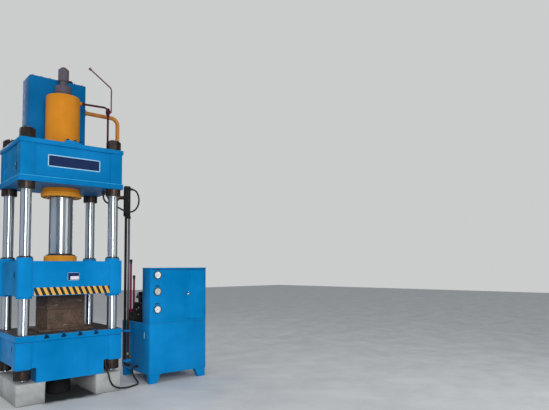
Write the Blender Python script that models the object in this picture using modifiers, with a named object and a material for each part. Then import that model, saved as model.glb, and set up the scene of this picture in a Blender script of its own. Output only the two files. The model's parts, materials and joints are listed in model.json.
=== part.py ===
"""A hydraulic press with four columns, and the power unit that drives it.

Metres, +Z up. X runs along the front of the press and Y from its front to its back. The origin is on the
floor, midway between the four columns. The press is modelled closed: its slide rests on the die block.

From the floor up it is stacked as it is put together: two piers, the bed with its slotted table, the die
block, the slide on the ram, the crown with the main cylinder, and the filling tank behind the cylinder.
Four columns with nuts at both ends tie bed and crown together. Pipes and hoses lead to the power unit, a
tank with a motor, a pump and a valve block behind a panel cabinet.
"""

from math import atan2, ceil, cos, pi, radians, sin

import bmesh
import bpy
from mathutils import Matrix, Vector

# Fits
SEAT = 0.0003  # between two faces that touch
SLIP = 0.0005  # round a part that slides or turns in another
ROUND = 20  # sides of a column or a bore
BROAD_ROUND = 36  # sides of the main cylinder and its ram
SMALL_ROUND = 12  # sides of small turned parts

# Columns and their nuts
COLUMN_PITCH_X = 1.08
COLUMN_PITCH_Y = 0.82
COLUMN_RADIUS = 0.0625
COLUMN_CHAMFER = 0.006
COLUMN_STICK_OUT = 0.015
CROWN_NUT_FLATS = 0.165
CROWN_NUT_HEIGHT = 0.12
ROUND_NUT_RADIUS = 0.095
UNDER_NUT_HEIGHT = 0.09
BED_NUT_HEIGHT = 0.12
NUT_SLOTS = 6
NUT_SLOT_WIDTH = 0.022
NUT_SLOT_DEPTH = 0.012

# Piers under the bed
PIER_HEIGHT = 0.25
PIER_INNER_X = 0.305
PIER_WIDTH = 0.325
PIER_LENGTH = 1.02
PIER_EDGE = 0.012

# Bed and its table
BED_HEIGHT = 0.56
BED_MARGIN_X = 0.105  # from a column's axis to the outside
BED_MARGIN_Y = 0.10
BED_PILLAR_X = 0.18
BED_PILLAR_Y = 0.17
BED_PILLAR_RISE = 0.16  # their undersides above the piers
BED_PROUD_X = 0.025  # of the corner pillars over the walls
BED_PROUD_Y = 0.012
BED_PROUD_Z = 0.018
BED_FOOT_WIDTH = 0.81
BED_FOOT_CORNER = 0.02
PILLAR_EDGE = 0.014
TABLE_THICKNESS = 0.08
TABLE_EDGE = 0.008
SLOT_PITCH = 0.20
SLOT_COUNT = 4
SLOT_NECK_WIDTH = 0.036
SLOT_NECK_DEPTH = 0.026
SLOT_HEAD_WIDTH = 0.060
SLOT_HEAD_DEPTH = 0.024
POCKET_RADIUS = 0.05  # lifting holes in the sides
POCKET_DEPTH = 0.10
POCKET_PITCH = 0.54
BED_POCKET_DROP = 0.18  # from the table's top

# Die block
DIE_HEIGHT = 0.46
DIE_WIDTH = 0.465
DIE_DEPTH = 0.50
DIE_SHIFT_X = 0.0075
DIE_BASE_WIDTH = 0.68
DIE_BASE_DEPTH = 0.60
DIE_BASE_HEIGHT = 0.03
DIE_SPLIT = 0.27  # height of the joint between its halves
DIE_SPLIT_GAP = 0.008
DIE_SPLIT_INSET = 0.006
DIE_EDGE = 0.005
DIE_BORE_DEPTH = 0.24

# Slide
SLIDE_HEIGHT = 0.42
SLIDE_STROKE = 0.70
SLIDE_MARGIN_X = 0.095
SLIDE_MARGIN_Y = 0.095
SLIDE_PILLAR_X = 0.16
SLIDE_PILLAR_Y = 0.16
SLIDE_PROUD_X = 0.022
SLIDE_PROUD_Y = 0.012
SLIDE_PROUD_BELOW = 0.006
SLIDE_PROUD_ABOVE = 0.010
SLIDE_BOSS_RADIUS = 0.092
SLIDE_BOSS_HEIGHT = 0.04
SLIDE_LOWER_BOSS_RADIUS = 0.089
SLIDE_LOWER_BOSS_HEIGHT = 0.03
SLIDE_POCKET_DROP = 0.17
RAM_RECESS = 0.04
BUSH_WALL = 0.0115
BUSH_FLANGE_RADIUS = 0.086
BUSH_FLANGE_HEIGHT = 0.012

# Crown
HEADROOM = 1.84  # table's top to the crown's underside
CROWN_HEIGHT = 0.53
CROWN_MARGIN_X = 0.105
CROWN_MARGIN_Y = 0.09
CROWN_PLATE_OVERHANG = 0.025
CROWN_TOP_PLATE = 0.06
CROWN_FLOOR_PLATE = 0.07
CROWN_PILLAR_X = 0.155
CROWN_PILLAR_Y = 0.16
CROWN_PILLAR_PROUD = 0.012
CROWN_POCKET_RISE = 0.21

# Main cylinder, ram and the valve on its head
CYLINDER_RADIUS = 0.215
CYLINDER_BORE = 0.160
CYLINDER_RISE = 0.72  # above the crown
CYLINDER_HEAD = 0.07
CYLINDER_CHAMFER = 0.014
CYLINDER_FLANGE_RADIUS = 0.235
CYLINDER_FLANGE_HEIGHT = 0.054
CYLINDER_PORT = 0.06
GLAND_RADIUS = 0.252
GLAND_HEIGHT = 0.055
GLAND_SPIGOT = 0.05
GLAND_CHAMFER = 0.006
RAM_RADIUS = 0.145
PISTON_HEIGHT = 0.10
PISTON_RISE = 0.35  # piston's underside above the crown's underside, slide down
RAM_FLANGE_RADIUS = 0.2025
RAM_FLANGE_HEIGHT = 0.078
RAM_FLANGE_CHAMFER = 0.012
LOCK_PLATE_FROM = -100.0
LOCK_PLATE_TO = -10.0
LOCK_PLATE_WALL = 0.055
LOCK_PLATE_HEIGHT = 0.09
VALVE_SIDES = 22  # a flat, not an edge, faces the branch
VALVE_RADIUS = 0.108
VALVE_HEIGHT = 0.15
VALVE_GROOVE_FROM = 0.03  # above its foot
VALVE_GROOVE_TO = 0.06
VALVE_GROOVE_DEPTH = 0.008
VALVE_GROOVE_SLOPE = 0.005
VALVE_NECK_RADIUS = 0.045
VALVE_NECK_HEIGHT = 0.07
VALVE_CAP_RADIUS = 0.068
VALVE_CAP_HEIGHT = 0.19
VALVE_CAP_STEP = 0.02
VALVE_CAP_EDGE = 0.01
VALVE_BRANCH_RADIUS = 0.05

# Filling tank on the crown
FILL_TANK_WIDTH = 0.75
FILL_TANK_SHIFT_X = 0.015
FILL_TANK_DEPTH = 0.365
FILL_TANK_FRONT = 0.235
FILL_TANK_HEIGHT = 1.035
FILL_TANK_EDGE = 0.018
FILL_TANK_LID_HEIGHT = 0.012
FILL_TANK_LID_INSET = 0.03

# Ejector under the bed
EJECTOR_LENGTH = 0.25
EJECTOR_RADIUS = 0.15
EJECTOR_BORE = 0.08
EJECTOR_WALL = 0.03
EJECTOR_CHAMFER = 0.01
EJECTOR_FLANGE_RADIUS = 0.19
EJECTOR_FLANGE_HEIGHT = 0.025
EJECTOR_SPIGOT_RADIUS = 0.11
EJECTOR_SPIGOT_HEIGHT = 0.08
EJECTOR_STROKE = 0.18
EJECTOR_ROD_RADIUS = 0.040
EJECTOR_ROD_BELOW_TABLE = 0.01
EJECTOR_PISTON_HEIGHT = 0.05
EJECTOR_PISTON_LIFT = 0.005
BED_BORE_PLAY = 0.005

# Oil tank and panel cabinet
TANK_LEFT = 1.06
TANK_WIDTH = 0.91
TANK_FRONT = -0.47
TANK_DEPTH = 0.90
TANK_HEIGHT = 0.70
TANK_EDGE = 0.006
LEG_HEIGHT = 0.12
LEG_TOP_X = 0.18
LEG_FOOT_X = 0.12
LEG_TOP_Y = 0.11
LEG_FOOT_Y = 0.075
LEG_INSET = 0.009  # from the tank's sides
FILLER_RADIUS = 0.038
FILLER_HEIGHT = 0.06
FILLER_FROM_RIGHT = 0.14
FILLER_FROM_BACK = 0.13
CABINET_DEPTH = 0.23
CABINET_HEIGHT = 0.78
CABINET_WALL = 0.003
DOOR_WIDTH = 0.344
DOOR_HEIGHT = 0.716
DOOR_RISE = 0.033  # above the cabinet's underside
DOOR_FROM_RIGHT = 0.016  # opening's edge to the cabinet's side
DOOR_GAP = 0.003
DOOR_DEPTH = 0.02
DOOR_SHEET = 0.002
DOOR_FOLD = 0.095  # left strip, set back from the rest
DOOR_FOLD_DEPTH = 0.004
HINGE_RADIUS = 0.006
HINGE_LENGTH = 0.08
HINGE_LEAF = 0.003
HINGE_LEAF_WIDTH = 0.024
HINGE_LIP = 0.004  # cabinet's leaf, beyond its knuckle
HINGE_INSET = 0.10  # from the door's ends
KNOB_RADIUS = 0.017
KNOB_HEIGHT = 0.022
KNOB_SPINDLE = 0.006
KNOB_SPINDLE_REACH = 0.004  # behind the door's sheet
KNOB_EDGE = 0.004
KNOB_TAPER = 0.008
KNOB_FROM_LEFT = 0.060
KNOB_RISE = 0.40  # above the cabinet's underside
GAUGE_FROM_LEFT = 0.112
GAUGE_RISES = {"lower": 0.20, "middle": 0.45, "upper": 0.68}
GAUGE_RADIUS = 0.057
GAUGE_DIAL_RADIUS = 0.047
GAUGE_BACK_RADIUS = 0.046
GAUGE_BACK_DEPTH = 0.05
GAUGE_HEIGHT = 0.022
GAUGE_RECESS = 0.010
GAUGE_RIM_TAPER = 0.004
GAUGE_RIM_SLOPE = 0.006
NEEDLE_LENGTH = 0.037
NEEDLE_TAIL = 0.011
NEEDLE_WIDTH = 0.004
NEEDLE_THICKNESS = 0.0015
NEEDLE_HUB = 0.006
NEEDLE_HUB_HEIGHT = 0.005
NEEDLE_REST = -135.0  # degrees from straight up, positive to the right

# Motor, pump and valve block on the tank
MOTOR_X = 1.46
MOTOR_RISE = 0.185
MOTOR_RADIUS = 0.115
MOTOR_FIN = 0.014
MOTOR_FINS = 14
MOTOR_FRONT = -0.20
MOTOR_LENGTH = 0.30
MOTOR_BELL = 0.03
MOTOR_EDGE = 0.004
TERMINAL_FROM_FRONT = 0.08
TERMINAL_LENGTH = 0.10
TERMINAL_RISE = 0.06  # above the drum
SHAFT_RADIUS = 0.019
SHAFT_IN = 0.03
COUPLING_RADIUS = 0.05
COUPLING_LENGTH = 0.09
COUPLING_CLEAR = 0.012
COUPLING_SPIDER = 0.024  # between its two hubs
PUMP_RADIUS = 0.085
PUMP_LENGTH = 0.15
PUMP_FLANGE_PROUD = 0.02
PUMP_FLANGE_THICKNESS = 0.03
PUMP_BRACKET_INSET = 0.004
PUMP_FOOT_LENGTH = 0.082
PUMP_FOOT_HEIGHT = 0.02
PUMP_OUTLET_BACK = 0.09
PUMP_OUTLET_RADIUS = 0.03
VALVE_BLOCK_LEFT = 0.03  # from the tank's left side
VALVE_BLOCK_WIDTH = 0.14
VALVE_BLOCK_FRONT = -0.16
VALVE_BLOCK_DEPTH = 0.26
VALVE_BLOCK_HEIGHT = 0.28
VALVE_BLOCK_EDGE = 0.006
VALVE_SHELF_DEPTH = 0.22
VALVE_SHELF_HEIGHT = 0.13
VALVE_SHELF_INSET = 0.004
VALVE_SHELF_LAP = 0.02
SOLENOID_RADIUS = 0.032
SOLENOID_HEIGHT = 0.15
COIL_INSET = 0.03  # from a solenoid's ends

# Rigid pipes
RETURN_RADIUS = 0.029
RETURN_Y = 0.30
RETURN_X = 0.893
RETURN_RISE = 0.665  # above the crown
RETURN_BEND = 0.10
RETURN_ELBOW = 0.045
RETURN_FALL = 0.01  # below the crown's underside
PRESSURE_RADIUS = 0.014
PRESSURE_X = 0.588
PRESSURE_Y = -0.085
PRESSURE_BEND = 0.06
PRESSURE_DROP = 0.04  # below the cylinder's head
PORT_RADIUS = 0.024
PORT_LENGTH = 0.025
TEE_SIDE = 0.052
VENT_RADIUS = 0.010
VENT_RISE = 0.29
VENT_LEAN_X = 0.03
VENT_END_X = -0.30
VENT_END_Z = 0.215
VENT_BEND = 0.05
VENT_CAP_LENGTH = 0.035
VENT_CAP_PROUD = 0.005
FLANGE_SIDE = 0.08
FLANGE_HEIGHT = 0.02
RISER_RADIUS = 0.019
RISER_OFF_TANK = 0.075
RISER_Y = 0.17
RISER_BEND = 0.05
RISER_PORT_Z = 0.185
RISER_UNION = 0.03
GREY_RADIUS = 0.017
GREY_OFF_TANK = 0.037
GREY_Y = 0.148
GREY_BEND = 0.028
GREY_PORT_Z = 0.30
HEAD_WIDTH = 0.084
HEAD_DEPTH = 0.078
HEAD_FLOOR = -0.28  # from the crown's underside
HEAD_HEIGHT = 0.44
HEAD_SHIFT_X = 0.014
HEAD_EDGE = 0.012
HEAD_PORT_DROP = 0.03
CLAMP_RISES = (0.12, 0.55)
CLAMP_HEIGHT = 0.03
CLAMP_WALL = 0.012
SERVICE_RADIUS = 0.015
SERVICE_CAP_RADIUS = 0.019
SERVICE_CAP_HEIGHT = 0.03
SERVICE_TALL = 0.78
SERVICE_SHORT = 0.54
SERVICE_FOOT_WIDTH = 0.094
SERVICE_FOOT_DEPTH = 0.09
SERVICE_FOOT_HEIGHT = 0.04
SERVICE_FOOT_INSET = 0.009  # from the shelf's left and back
SERVICE_TALL_SPOT = (0.022, 0.064)  # from the foot's front left corner
SERVICE_SHORT_SPOT = (0.059, 0.035)

# Hoses: their routes are chosen points
HOSE_RADIUS = 0.012
FLOOR_HOSE_RADIUS = 0.011
HOSE_STUB = 0.018  # straight run out of a nipple
NIPPLE_RADIUS = 0.018
NIPPLE_LENGTH = 0.02
LONG_HOSE_PORT = (0.487, -0.21)
SHORT_HOSE_PORT = (0.60, -0.08)
SHORT_HOSE_DROP = 0.165  # below the head block's top
LONG_HOSE_ROUTE = (
    (1.130, 0.150, 2.754),
    (1.155, 0.125, 2.690),
    (1.150, 0.090, 2.605),
    (1.118, 0.060, 2.522),
    (1.060, 0.035, 2.455),
    (0.980, 0.015, 2.420),
    (0.893, -0.005, 2.425),
    (0.777, -0.045, 2.462),
    (0.675, -0.090, 2.487),
    (0.581, -0.140, 2.503),
    (0.520, -0.185, 2.524),
    (0.491, -0.206, 2.565),
)
SHORT_HOSE_ROUTE = (
    (0.872, 0.137, 2.628),
    (0.811, 0.080, 2.582),
    (0.750, 0.020, 2.545),
    (0.695, -0.025, 2.531),
    (0.640, -0.061, 2.547),
    (0.607, -0.078, 2.585),
)
FLOOR_HOSE_ROUTE = (
    (0.437, -0.482, 0.345),
    (0.446, -0.508, 0.298),
    (0.456, -0.534, 0.240),
    (0.466, -0.549, 0.180),
    (0.483, -0.557, 0.128),
    (0.514, -0.556, 0.088),
    (0.560, -0.546, 0.058),
    (0.620, -0.525, 0.036),
    (0.695, -0.493, 0.021),
    (0.770, -0.458, 0.0125),
    (0.840, -0.426, 0.0125),
    (0.903, -0.394, 0.0125),
    (0.950, -0.352, 0.0135),
    (0.969, -0.303, 0.026),
    (0.962, -0.258, 0.056),
    (0.948, -0.224, 0.096),
    (0.943, -0.192, 0.137),
    (0.955, -0.153, 0.172),
    (0.984, -0.118, 0.193),
)
FLOOR_HOSE_PORT = (0.435, -0.475)
TANK_HOSE_PORT_Y = -0.10
TANK_HOSE_PORT_Z = 0.20

# Worked out from the sizes above
HALF_PITCH_X = COLUMN_PITCH_X / 2
HALF_PITCH_Y = COLUMN_PITCH_Y / 2
BED_FLOOR = PIER_HEIGHT + SEAT
TABLE_TOP = PIER_HEIGHT + BED_HEIGHT
TABLE_FLOOR = TABLE_TOP - TABLE_THICKNESS
PILLAR_FLOOR = PIER_HEIGHT + BED_PILLAR_RISE
DIE_FLOOR = TABLE_TOP + SEAT
SLIDE_FLOOR = DIE_FLOOR + DIE_HEIGHT + SEAT
SLIDE_TOP = SLIDE_FLOOR + SLIDE_HEIGHT
CROWN_FLOOR = TABLE_TOP + HEADROOM
CROWN_TOP = CROWN_FLOOR + CROWN_HEIGHT
COLUMN_FOOT = PILLAR_FLOOR - BED_NUT_HEIGHT - COLUMN_STICK_OUT
COLUMN_HEAD = CROWN_TOP + CROWN_NUT_HEIGHT + COLUMN_STICK_OUT
BORE_RADIUS = COLUMN_RADIUS + SEAT
CYLINDER_FLANGE_FLOOR = CROWN_FLOOR - CYLINDER_FLANGE_HEIGHT
CYLINDER_TOP = CROWN_TOP + CYLINDER_RISE
PISTON_FLOOR = CROWN_FLOOR + PISTON_RISE
TANK_RIGHT = TANK_LEFT + TANK_WIDTH
TANK_BACK = TANK_FRONT + TANK_DEPTH
TANK_TOP = LEG_HEIGHT + TANK_HEIGHT
DECK = TANK_TOP + SEAT
DOOR_RIGHT = TANK_RIGHT - DOOR_FROM_RIGHT
DOOR_LEFT = DOOR_RIGHT - DOOR_WIDTH
DOOR_FLOOR = DECK + DOOR_RISE
DOOR_TOP = DOOR_FLOOR + DOOR_HEIGHT
HINGE_X = DOOR_RIGHT + HINGE_RADIUS - DOOR_GAP / 2
HINGE_Y = TANK_FRONT - HINGE_RADIUS - SEAT
MOTOR_Z = DECK + MOTOR_RISE
RISER_X = TANK_LEFT - RISER_OFF_TANK
GREY_X = TANK_LEFT - GREY_OFF_TANK
HEAD_X = RISER_X + HEAD_SHIFT_X
HEAD_LOW = CROWN_FLOOR + HEAD_FLOOR
HEAD_TOP = HEAD_LOW + HEAD_HEIGHT
PRESSURE_Z = CYLINDER_TOP - PRESSURE_DROP
PRESSURE_ANGLE = atan2(PRESSURE_Y, PRESSURE_X)
CORNERS = {
    "front_left": (-HALF_PITCH_X, -HALF_PITCH_Y),
    "front_right": (HALF_PITCH_X, -HALF_PITCH_Y),
    "back_left": (-HALF_PITCH_X, HALF_PITCH_Y),
    "back_right": (HALF_PITCH_X, HALF_PITCH_Y),
}

# Finishes: colour, roughness, metallic
FINISHES = {
    "blue paint": ((0.005, 0.20, 0.55), 0.40, 0.0),
    "orange paint": ((0.62, 0.27, 0.03), 0.40, 0.0),
    "grey paint": ((0.11, 0.10, 0.12), 0.50, 0.0),
    "black paint": ((0.010, 0.010, 0.011), 0.45, 0.0),
    "red oxide": ((0.12, 0.012, 0.018), 0.50, 0.0),
    "brown pipe": ((0.10, 0.045, 0.03), 0.55, 0.0),
    "chrome": ((0.75, 0.77, 0.78), 0.08, 1.0),
    "black oxide": ((0.030, 0.024, 0.022), 0.50, 0.8),
    "bronze": ((0.45, 0.25, 0.09), 0.35, 1.0),
    "zinc": ((0.35, 0.36, 0.38), 0.35, 1.0),
    "rusty steel": ((0.085, 0.045, 0.03), 0.80, 0.3),
    "concrete": ((0.33, 0.34, 0.33), 0.90, 0.0),
    "rubber": ((0.012, 0.012, 0.013), 0.65, 0.0),
    "dial": ((0.80, 0.82, 0.80), 0.40, 0.0),
    "needle": ((0.02, 0.02, 0.02), 0.50, 0.0),
}


def clear_scene():
    """Empty the scene, and make the collections for parts and for the shapes that cut or join them."""
    for thing in list(bpy.data.objects):
        bpy.data.objects.remove(thing, do_unlink=True)
    made = []
    for name in ("hydraulic_press", "cutters"):
        collection = bpy.data.collections.new(name)
        bpy.context.scene.collection.children.link(collection)
        made.append(collection)
    return made


PARTS, CUTTERS = clear_scene()


def shade(mesh):
    """Round faces smooth, with edges sharper than 30 degrees kept."""
    mesh.shade_smooth()
    mesh.set_sharp_from_angle(angle=radians(30))


def coat(thing, finish):
    """Give a part its own material."""
    colour, roughness, metallic = FINISHES[finish]
    material = bpy.data.materials.new(f"{thing.name} {finish}")
    material.use_nodes = True
    shader = material.node_tree.nodes["Principled BSDF"]
    shader.inputs["Base Color"].default_value = (*colour, 1.0)
    shader.inputs["Roughness"].default_value = roughness
    shader.inputs["Metallic"].default_value = metallic
    thing.data.materials.clear()
    thing.data.materials.append(material)


def place(name, shape, finish=None):
    """Make an object of a bmesh or a mesh: a part where it has a finish, otherwise a cutter."""
    if isinstance(shape, bmesh.types.BMesh):
        mesh = bpy.data.meshes.new(name)
        shape.to_mesh(mesh)
        shape.free()
    else:
        mesh = shape
    shade(mesh)
    thing = bpy.data.objects.new(name, mesh)
    if finish:
        PARTS.objects.link(thing)
        coat(thing, finish)
    else:
        CUTTERS.objects.link(thing)
        thing.hide_render = True
        thing.display_type = "WIRE"
    return thing


def combine(part, tool, operation):
    """Cut a part with a tool, join the tool to it, or keep what they share."""
    step = part.modifiers.new(f"{operation.lower()} {tool.name}", "BOOLEAN")
    step.operation = operation
    step.solver = "EXACT"
    step.object = tool
    return part


def cut(part, *tools):
    for tool in tools:
        combine(part, tool, "DIFFERENCE")
    return part


def join(part, *tools):
    for tool in tools:
        combine(part, tool, "UNION")
    return part


def evaluated_mesh(thing):
    """The mesh that an object shows with its modifiers or bevel, its loose caps welded on."""
    bpy.context.view_layer.update()
    graph = bpy.context.evaluated_depsgraph_get()
    mesh = bpy.data.meshes.new_from_object(thing.evaluated_get(graph))
    mesh.transform(thing.matrix_world)
    shape = bmesh.new()
    shape.from_mesh(mesh)
    bmesh.ops.remove_doubles(shape, verts=shape.verts, dist=0.00001)
    shape.to_mesh(mesh)
    shape.free()
    mesh.materials.clear()
    bpy.data.objects.remove(thing, do_unlink=True)
    return mesh


def own_origin(thing, spot):
    """Move a part's origin to a point on its joint's axis, with the part left where it is."""
    spot = Vector(spot)
    thing.data.transform(Matrix.Translation(-spot))
    thing.location = spot
    return thing


def ride_on(carrier, *riders):
    """Parent the pieces that move with a carrier, each left where it is."""
    for rider in riders:
        rider.parent = carrier
        rider.location = rider.location - carrier.location


def reach(line, axis):
    """How far an edge reaches along an axis."""
    return abs(line.verts[0].co[axis] - line.verts[1].co[axis])


def box(low, high, edge=0.0, along=None, steps=2):
    """A box between two corners, with rounded edges, or only those along one axis, 0 to 2 for X to Z."""
    low, high = Vector(low), Vector(high)
    shape = bmesh.new()
    bmesh.ops.create_cube(shape, size=1.0)
    bmesh.ops.scale(shape, vec=high - low, verts=shape.verts)
    bmesh.ops.translate(shape, vec=(low + high) / 2, verts=shape.verts)
    if edge:
        chosen = [line for line in shape.edges if along is None or reach(line, along) > edge]
        bmesh.ops.bevel(
            shape, geom=chosen, offset=edge, segments=steps, profile=0.5, affect="EDGES", material=-1
        )
    return shape


def corner_boxes(half_x, half_y, width_x, width_y, low, high, edge, along=2):
    """Four equal boxes in the corners of a plan, as one shape."""
    shape = bmesh.new()
    for side_x in (-1, 1):
        for side_y in (-1, 1):
            across = sorted((side_x * half_x, side_x * (half_x - width_x)))
            deep = sorted((side_y * half_y, side_y * (half_y - width_y)))
            piece = box((across[0], deep[0], low), (across[1], deep[1], high), edge, along)
            mesh = bpy.data.meshes.new("corner")
            piece.to_mesh(mesh)
            piece.free()
            shape.from_mesh(mesh)
            bpy.data.meshes.remove(mesh)
    return shape


def rods(ends, radius, sides=ROUND):
    """Straight round bars, each between two points, as one shape."""
    shape = bmesh.new()
    for start, end in ends:
        start, end = Vector(start), Vector(end)
        run = end - start
        turn = run.to_track_quat("Z", "Y").to_matrix().to_4x4()
        bmesh.ops.create_cone(
            shape,
            cap_ends=True,
            segments=sides,
            radius1=radius,
            radius2=radius,
            depth=run.length,
            matrix=Matrix.Translation((start + end) / 2) @ turn,
        )
    return shape


def uprights(name, places, radius, low, high, sides=ROUND):
    """Upright round bars, to cut bores with or to join."""
    return place(name, rods([((x, y, low), (x, y, high)) for x, y in places], radius, sides))


def turned(name, profile, sides=ROUND, finish=None, at=(0, 0, 0), facing_front=False):
    """A shape turned about an upright axis, or one that faces the front, from (radius, height) points.

    The points run down the outer side, from top to bottom, so that the faces point outwards."""
    mesh = bpy.data.meshes.new(name)
    closed = profile[0][0] > 0
    count = len(profile)
    edges = [(i, (i + 1) % count) for i in range(count if closed else count - 1)]
    mesh.from_pydata([(r, 0, z) for r, z in profile], edges, [])
    thing = bpy.data.objects.new(name, mesh)
    CUTTERS.objects.link(thing)
    screw = thing.modifiers.new("turn", "SCREW")
    screw.steps = sides
    screw.render_steps = sides
    screw.use_merge_vertices = True
    screw.merge_threshold = 0.00001
    mesh = evaluated_mesh(thing)
    piece = place(name, mesh, finish)
    piece.location = at
    if facing_front:
        piece.rotation_euler = (pi / 2, 0, 0)
    return piece


def chamfered(radius, low, high, chamfer):
    """The profile of a solid round bar with chamfered ends."""
    return [
        (0, high),
        (radius - chamfer, high),
        (radius, high - chamfer),
        (radius, low + chamfer),
        (radius - chamfer, low),
        (0, low),
    ]


def ring(outer, inner, low, high, chamfer=0.0):
    """The profile of a ring, with its outer edges chamfered."""
    if not chamfer:
        return [(outer, high), (outer, low), (inner, low), (inner, high)]
    return [
        (outer - chamfer, high),
        (outer, high - chamfer),
        (outer, low + chamfer),
        (outer - chamfer, low),
        (inner, low),
        (inner, high),
    ]


def plate(name, outlines, thickness, finish=None, stand=None):
    """A flat outline, with holes where more outlines are given, of even thickness about z = 0.

    stand turns and moves the finished plate."""
    curve = bpy.data.curves.new(name, "CURVE")
    curve.dimensions = "2D"
    curve.fill_mode = "BOTH"
    curve.extrude = thickness / 2
    for points in outlines:
        spline = curve.splines.new("POLY")
        spline.points.add(len(points) - 1)
        for spot, (x, y) in zip(spline.points, points):
            spot.co = (x, y, 0, 1)
        spline.use_cyclic_u = True
    thing = bpy.data.objects.new(name, curve)
    CUTTERS.objects.link(thing)
    mesh = evaluated_mesh(thing)
    if stand is not None:
        mesh.transform(stand)
    return place(name, mesh, finish)


def arc(centre, radius, start, end, steps):
    """Points along an arc, its angles in degrees."""
    return [
        (
            centre[0] + radius * cos(radians(start + (end - start) * i / steps)),
            centre[1] + radius * sin(radians(start + (end - start) * i / steps)),
        )
        for i in range(steps + 1)
    ]


def bent_route(corners, bends, steps=6):
    """A pipe's route: straight runs between corners, and a true arc at each corner of its own radius."""
    corners = [Vector(corner) for corner in corners]
    route = [corners[0]]
    for before, corner, after, bend in zip(corners, corners[1:], corners[2:], bends):
        back, ahead = (before - corner).normalized(), (after - corner).normalized()
        half = back.angle(ahead) / 2
        middle = corner + (back + ahead).normalized() * bend / sin(half)
        reach = bend * cos(half) / sin(half)
        first = corner + back * reach - middle
        last = corner + ahead * reach - middle
        swing = first.angle(last)
        for i in range(steps + 1):
            share = i / steps
            route.append(middle + (first * sin((1 - share) * swing) + last * sin(share * swing)) / sin(swing))
    route.append(corners[-1])
    return route


def smooth_route(points, spacing):
    """Points at even spacing along a smooth curve through chosen points, its first and last runs straight."""
    points = [Vector(point) for point in points]
    fine = []
    for before, start, end, after in zip(points, points[1:], points[2:], points[3:]):
        for i in range(16):
            t = i / 16
            fine.append(
                (
                    2 * start
                    + (end - before) * t
                    + (2 * before - 5 * start + 4 * end - after) * t**2
                    + (3 * start - before - 3 * end + after) * t**3
                )
                / 2
            )
    fine.append(points[-2])
    lengths = [0.0]
    for a, b in zip(fine, fine[1:]):
        lengths.append(lengths[-1] + (b - a).length)
    runs = ceil(lengths[-1] / spacing)
    route = [points[0]]
    step = 0
    for i in range(runs + 1):
        want = lengths[-1] * i / runs
        while step < len(fine) - 2 and lengths[step + 1] < want:
            step += 1
        share = (want - lengths[step]) / (lengths[step + 1] - lengths[step])
        route.append(fine[step].lerp(fine[step + 1], share))
    route.append(points[-1])
    return route


def tube(name, route, radius, rounding, finish=None):
    """A round pipe or hose with flat ends along a route."""
    curve = bpy.data.curves.new(name, "CURVE")
    curve.dimensions = "3D"
    curve.bevel_depth = radius
    curve.bevel_resolution = rounding
    curve.use_fill_caps = True
    spline = curve.splines.new("POLY")
    spline.points.add(len(route) - 1)
    for spot, point in zip(spline.points, route):
        spot.co = (*point, 1)
    thing = bpy.data.objects.new(name, curve)
    CUTTERS.objects.link(thing)
    return place(name, evaluated_mesh(thing), finish)


def make_columns():
    """Four polished columns, threaded at both ends in the nuts."""
    profile = chamfered(COLUMN_RADIUS, COLUMN_FOOT, COLUMN_HEAD, COLUMN_CHAMFER)
    mesh = None
    for corner, (x, y) in CORNERS.items():
        if mesh is None:
            column = turned(f"column_{corner}", profile, finish="chrome", at=(x, y, 0))
            mesh = column.data
            continue
        column = place(f"column_{corner}", mesh.copy(), "chrome")
        column.location = (x, y, 0)


def copies(names_and_spots, mesh, finish):
    """The same piece at several places."""
    for name, spot in names_and_spots:
        piece = place(name, mesh.copy(), finish)
        piece.location = spot


def make_crown_nuts():
    """Tall hexagon nuts on the crown, their corners turned off."""
    half = CROWN_NUT_HEIGHT / 2
    across_corners = CROWN_NUT_FLATS / cos(pi / 6) / 2
    blank = place("crown_nut_blank", rods([((0, 0, -half), (0, 0, half))], across_corners, 6))
    turned_off = (across_corners - CROWN_NUT_FLATS / 2) * 1.2
    dome = turned("crown_nut_dome", chamfered(across_corners + SEAT, -half - SEAT, half + SEAT, turned_off))
    bore = uprights("crown_nut_bore", [(0, 0)], BORE_RADIUS, -CROWN_NUT_HEIGHT, CROWN_NUT_HEIGHT)
    combine(blank, dome, "INTERSECT")
    cut(blank, bore)
    mesh = evaluated_mesh(blank)
    bpy.data.objects.remove(dome, do_unlink=True)
    bpy.data.objects.remove(bore, do_unlink=True)
    height = CROWN_TOP + SEAT + half
    places = [(f"crown_nut_{corner}", (x, y, height)) for corner, (x, y) in CORNERS.items()]
    copies(places, mesh, "black oxide")


def slotted_outline():
    """The outline of a round nut with slots for a hook spanner."""
    half_slot = NUT_SLOT_WIDTH / 2
    floor = ROUND_NUT_RADIUS - NUT_SLOT_DEPTH
    points = []
    for slot in range(NUT_SLOTS):
        turn = 2 * pi * slot / NUT_SLOTS
        edge = half_slot / ROUND_NUT_RADIUS
        for along, across in ((floor, -half_slot), (floor, half_slot)):
            points.append((along * cos(turn) - across * sin(turn), along * sin(turn) + across * cos(turn)))
        span = 2 * pi / NUT_SLOTS - 2 * edge
        for i in range(4):
            angle = turn + edge + span * i / 3
            points.append((ROUND_NUT_RADIUS * cos(angle), ROUND_NUT_RADIUS * sin(angle)))
    return points


def make_round_nuts():
    """Slotted round nuts: four under the crown and four under the bed."""
    bore = arc((0, 0), BORE_RADIUS, 0, 360 - 360 / ROUND, ROUND - 1)
    for kind, height, top in (
        ("crown_under_nut", UNDER_NUT_HEIGHT, CROWN_FLOOR - SEAT),
        ("bed_nut", BED_NUT_HEIGHT, PILLAR_FLOOR - SEAT),
    ):
        blank = plate(f"{kind}_blank", [slotted_outline(), bore], height)
        mesh = blank.data
        bpy.data.objects.remove(blank, do_unlink=True)
        places = [(f"{kind}_{corner}", (x, y, top - height / 2)) for corner, (x, y) in CORNERS.items()]
        copies(places, mesh, "black oxide")


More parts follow.
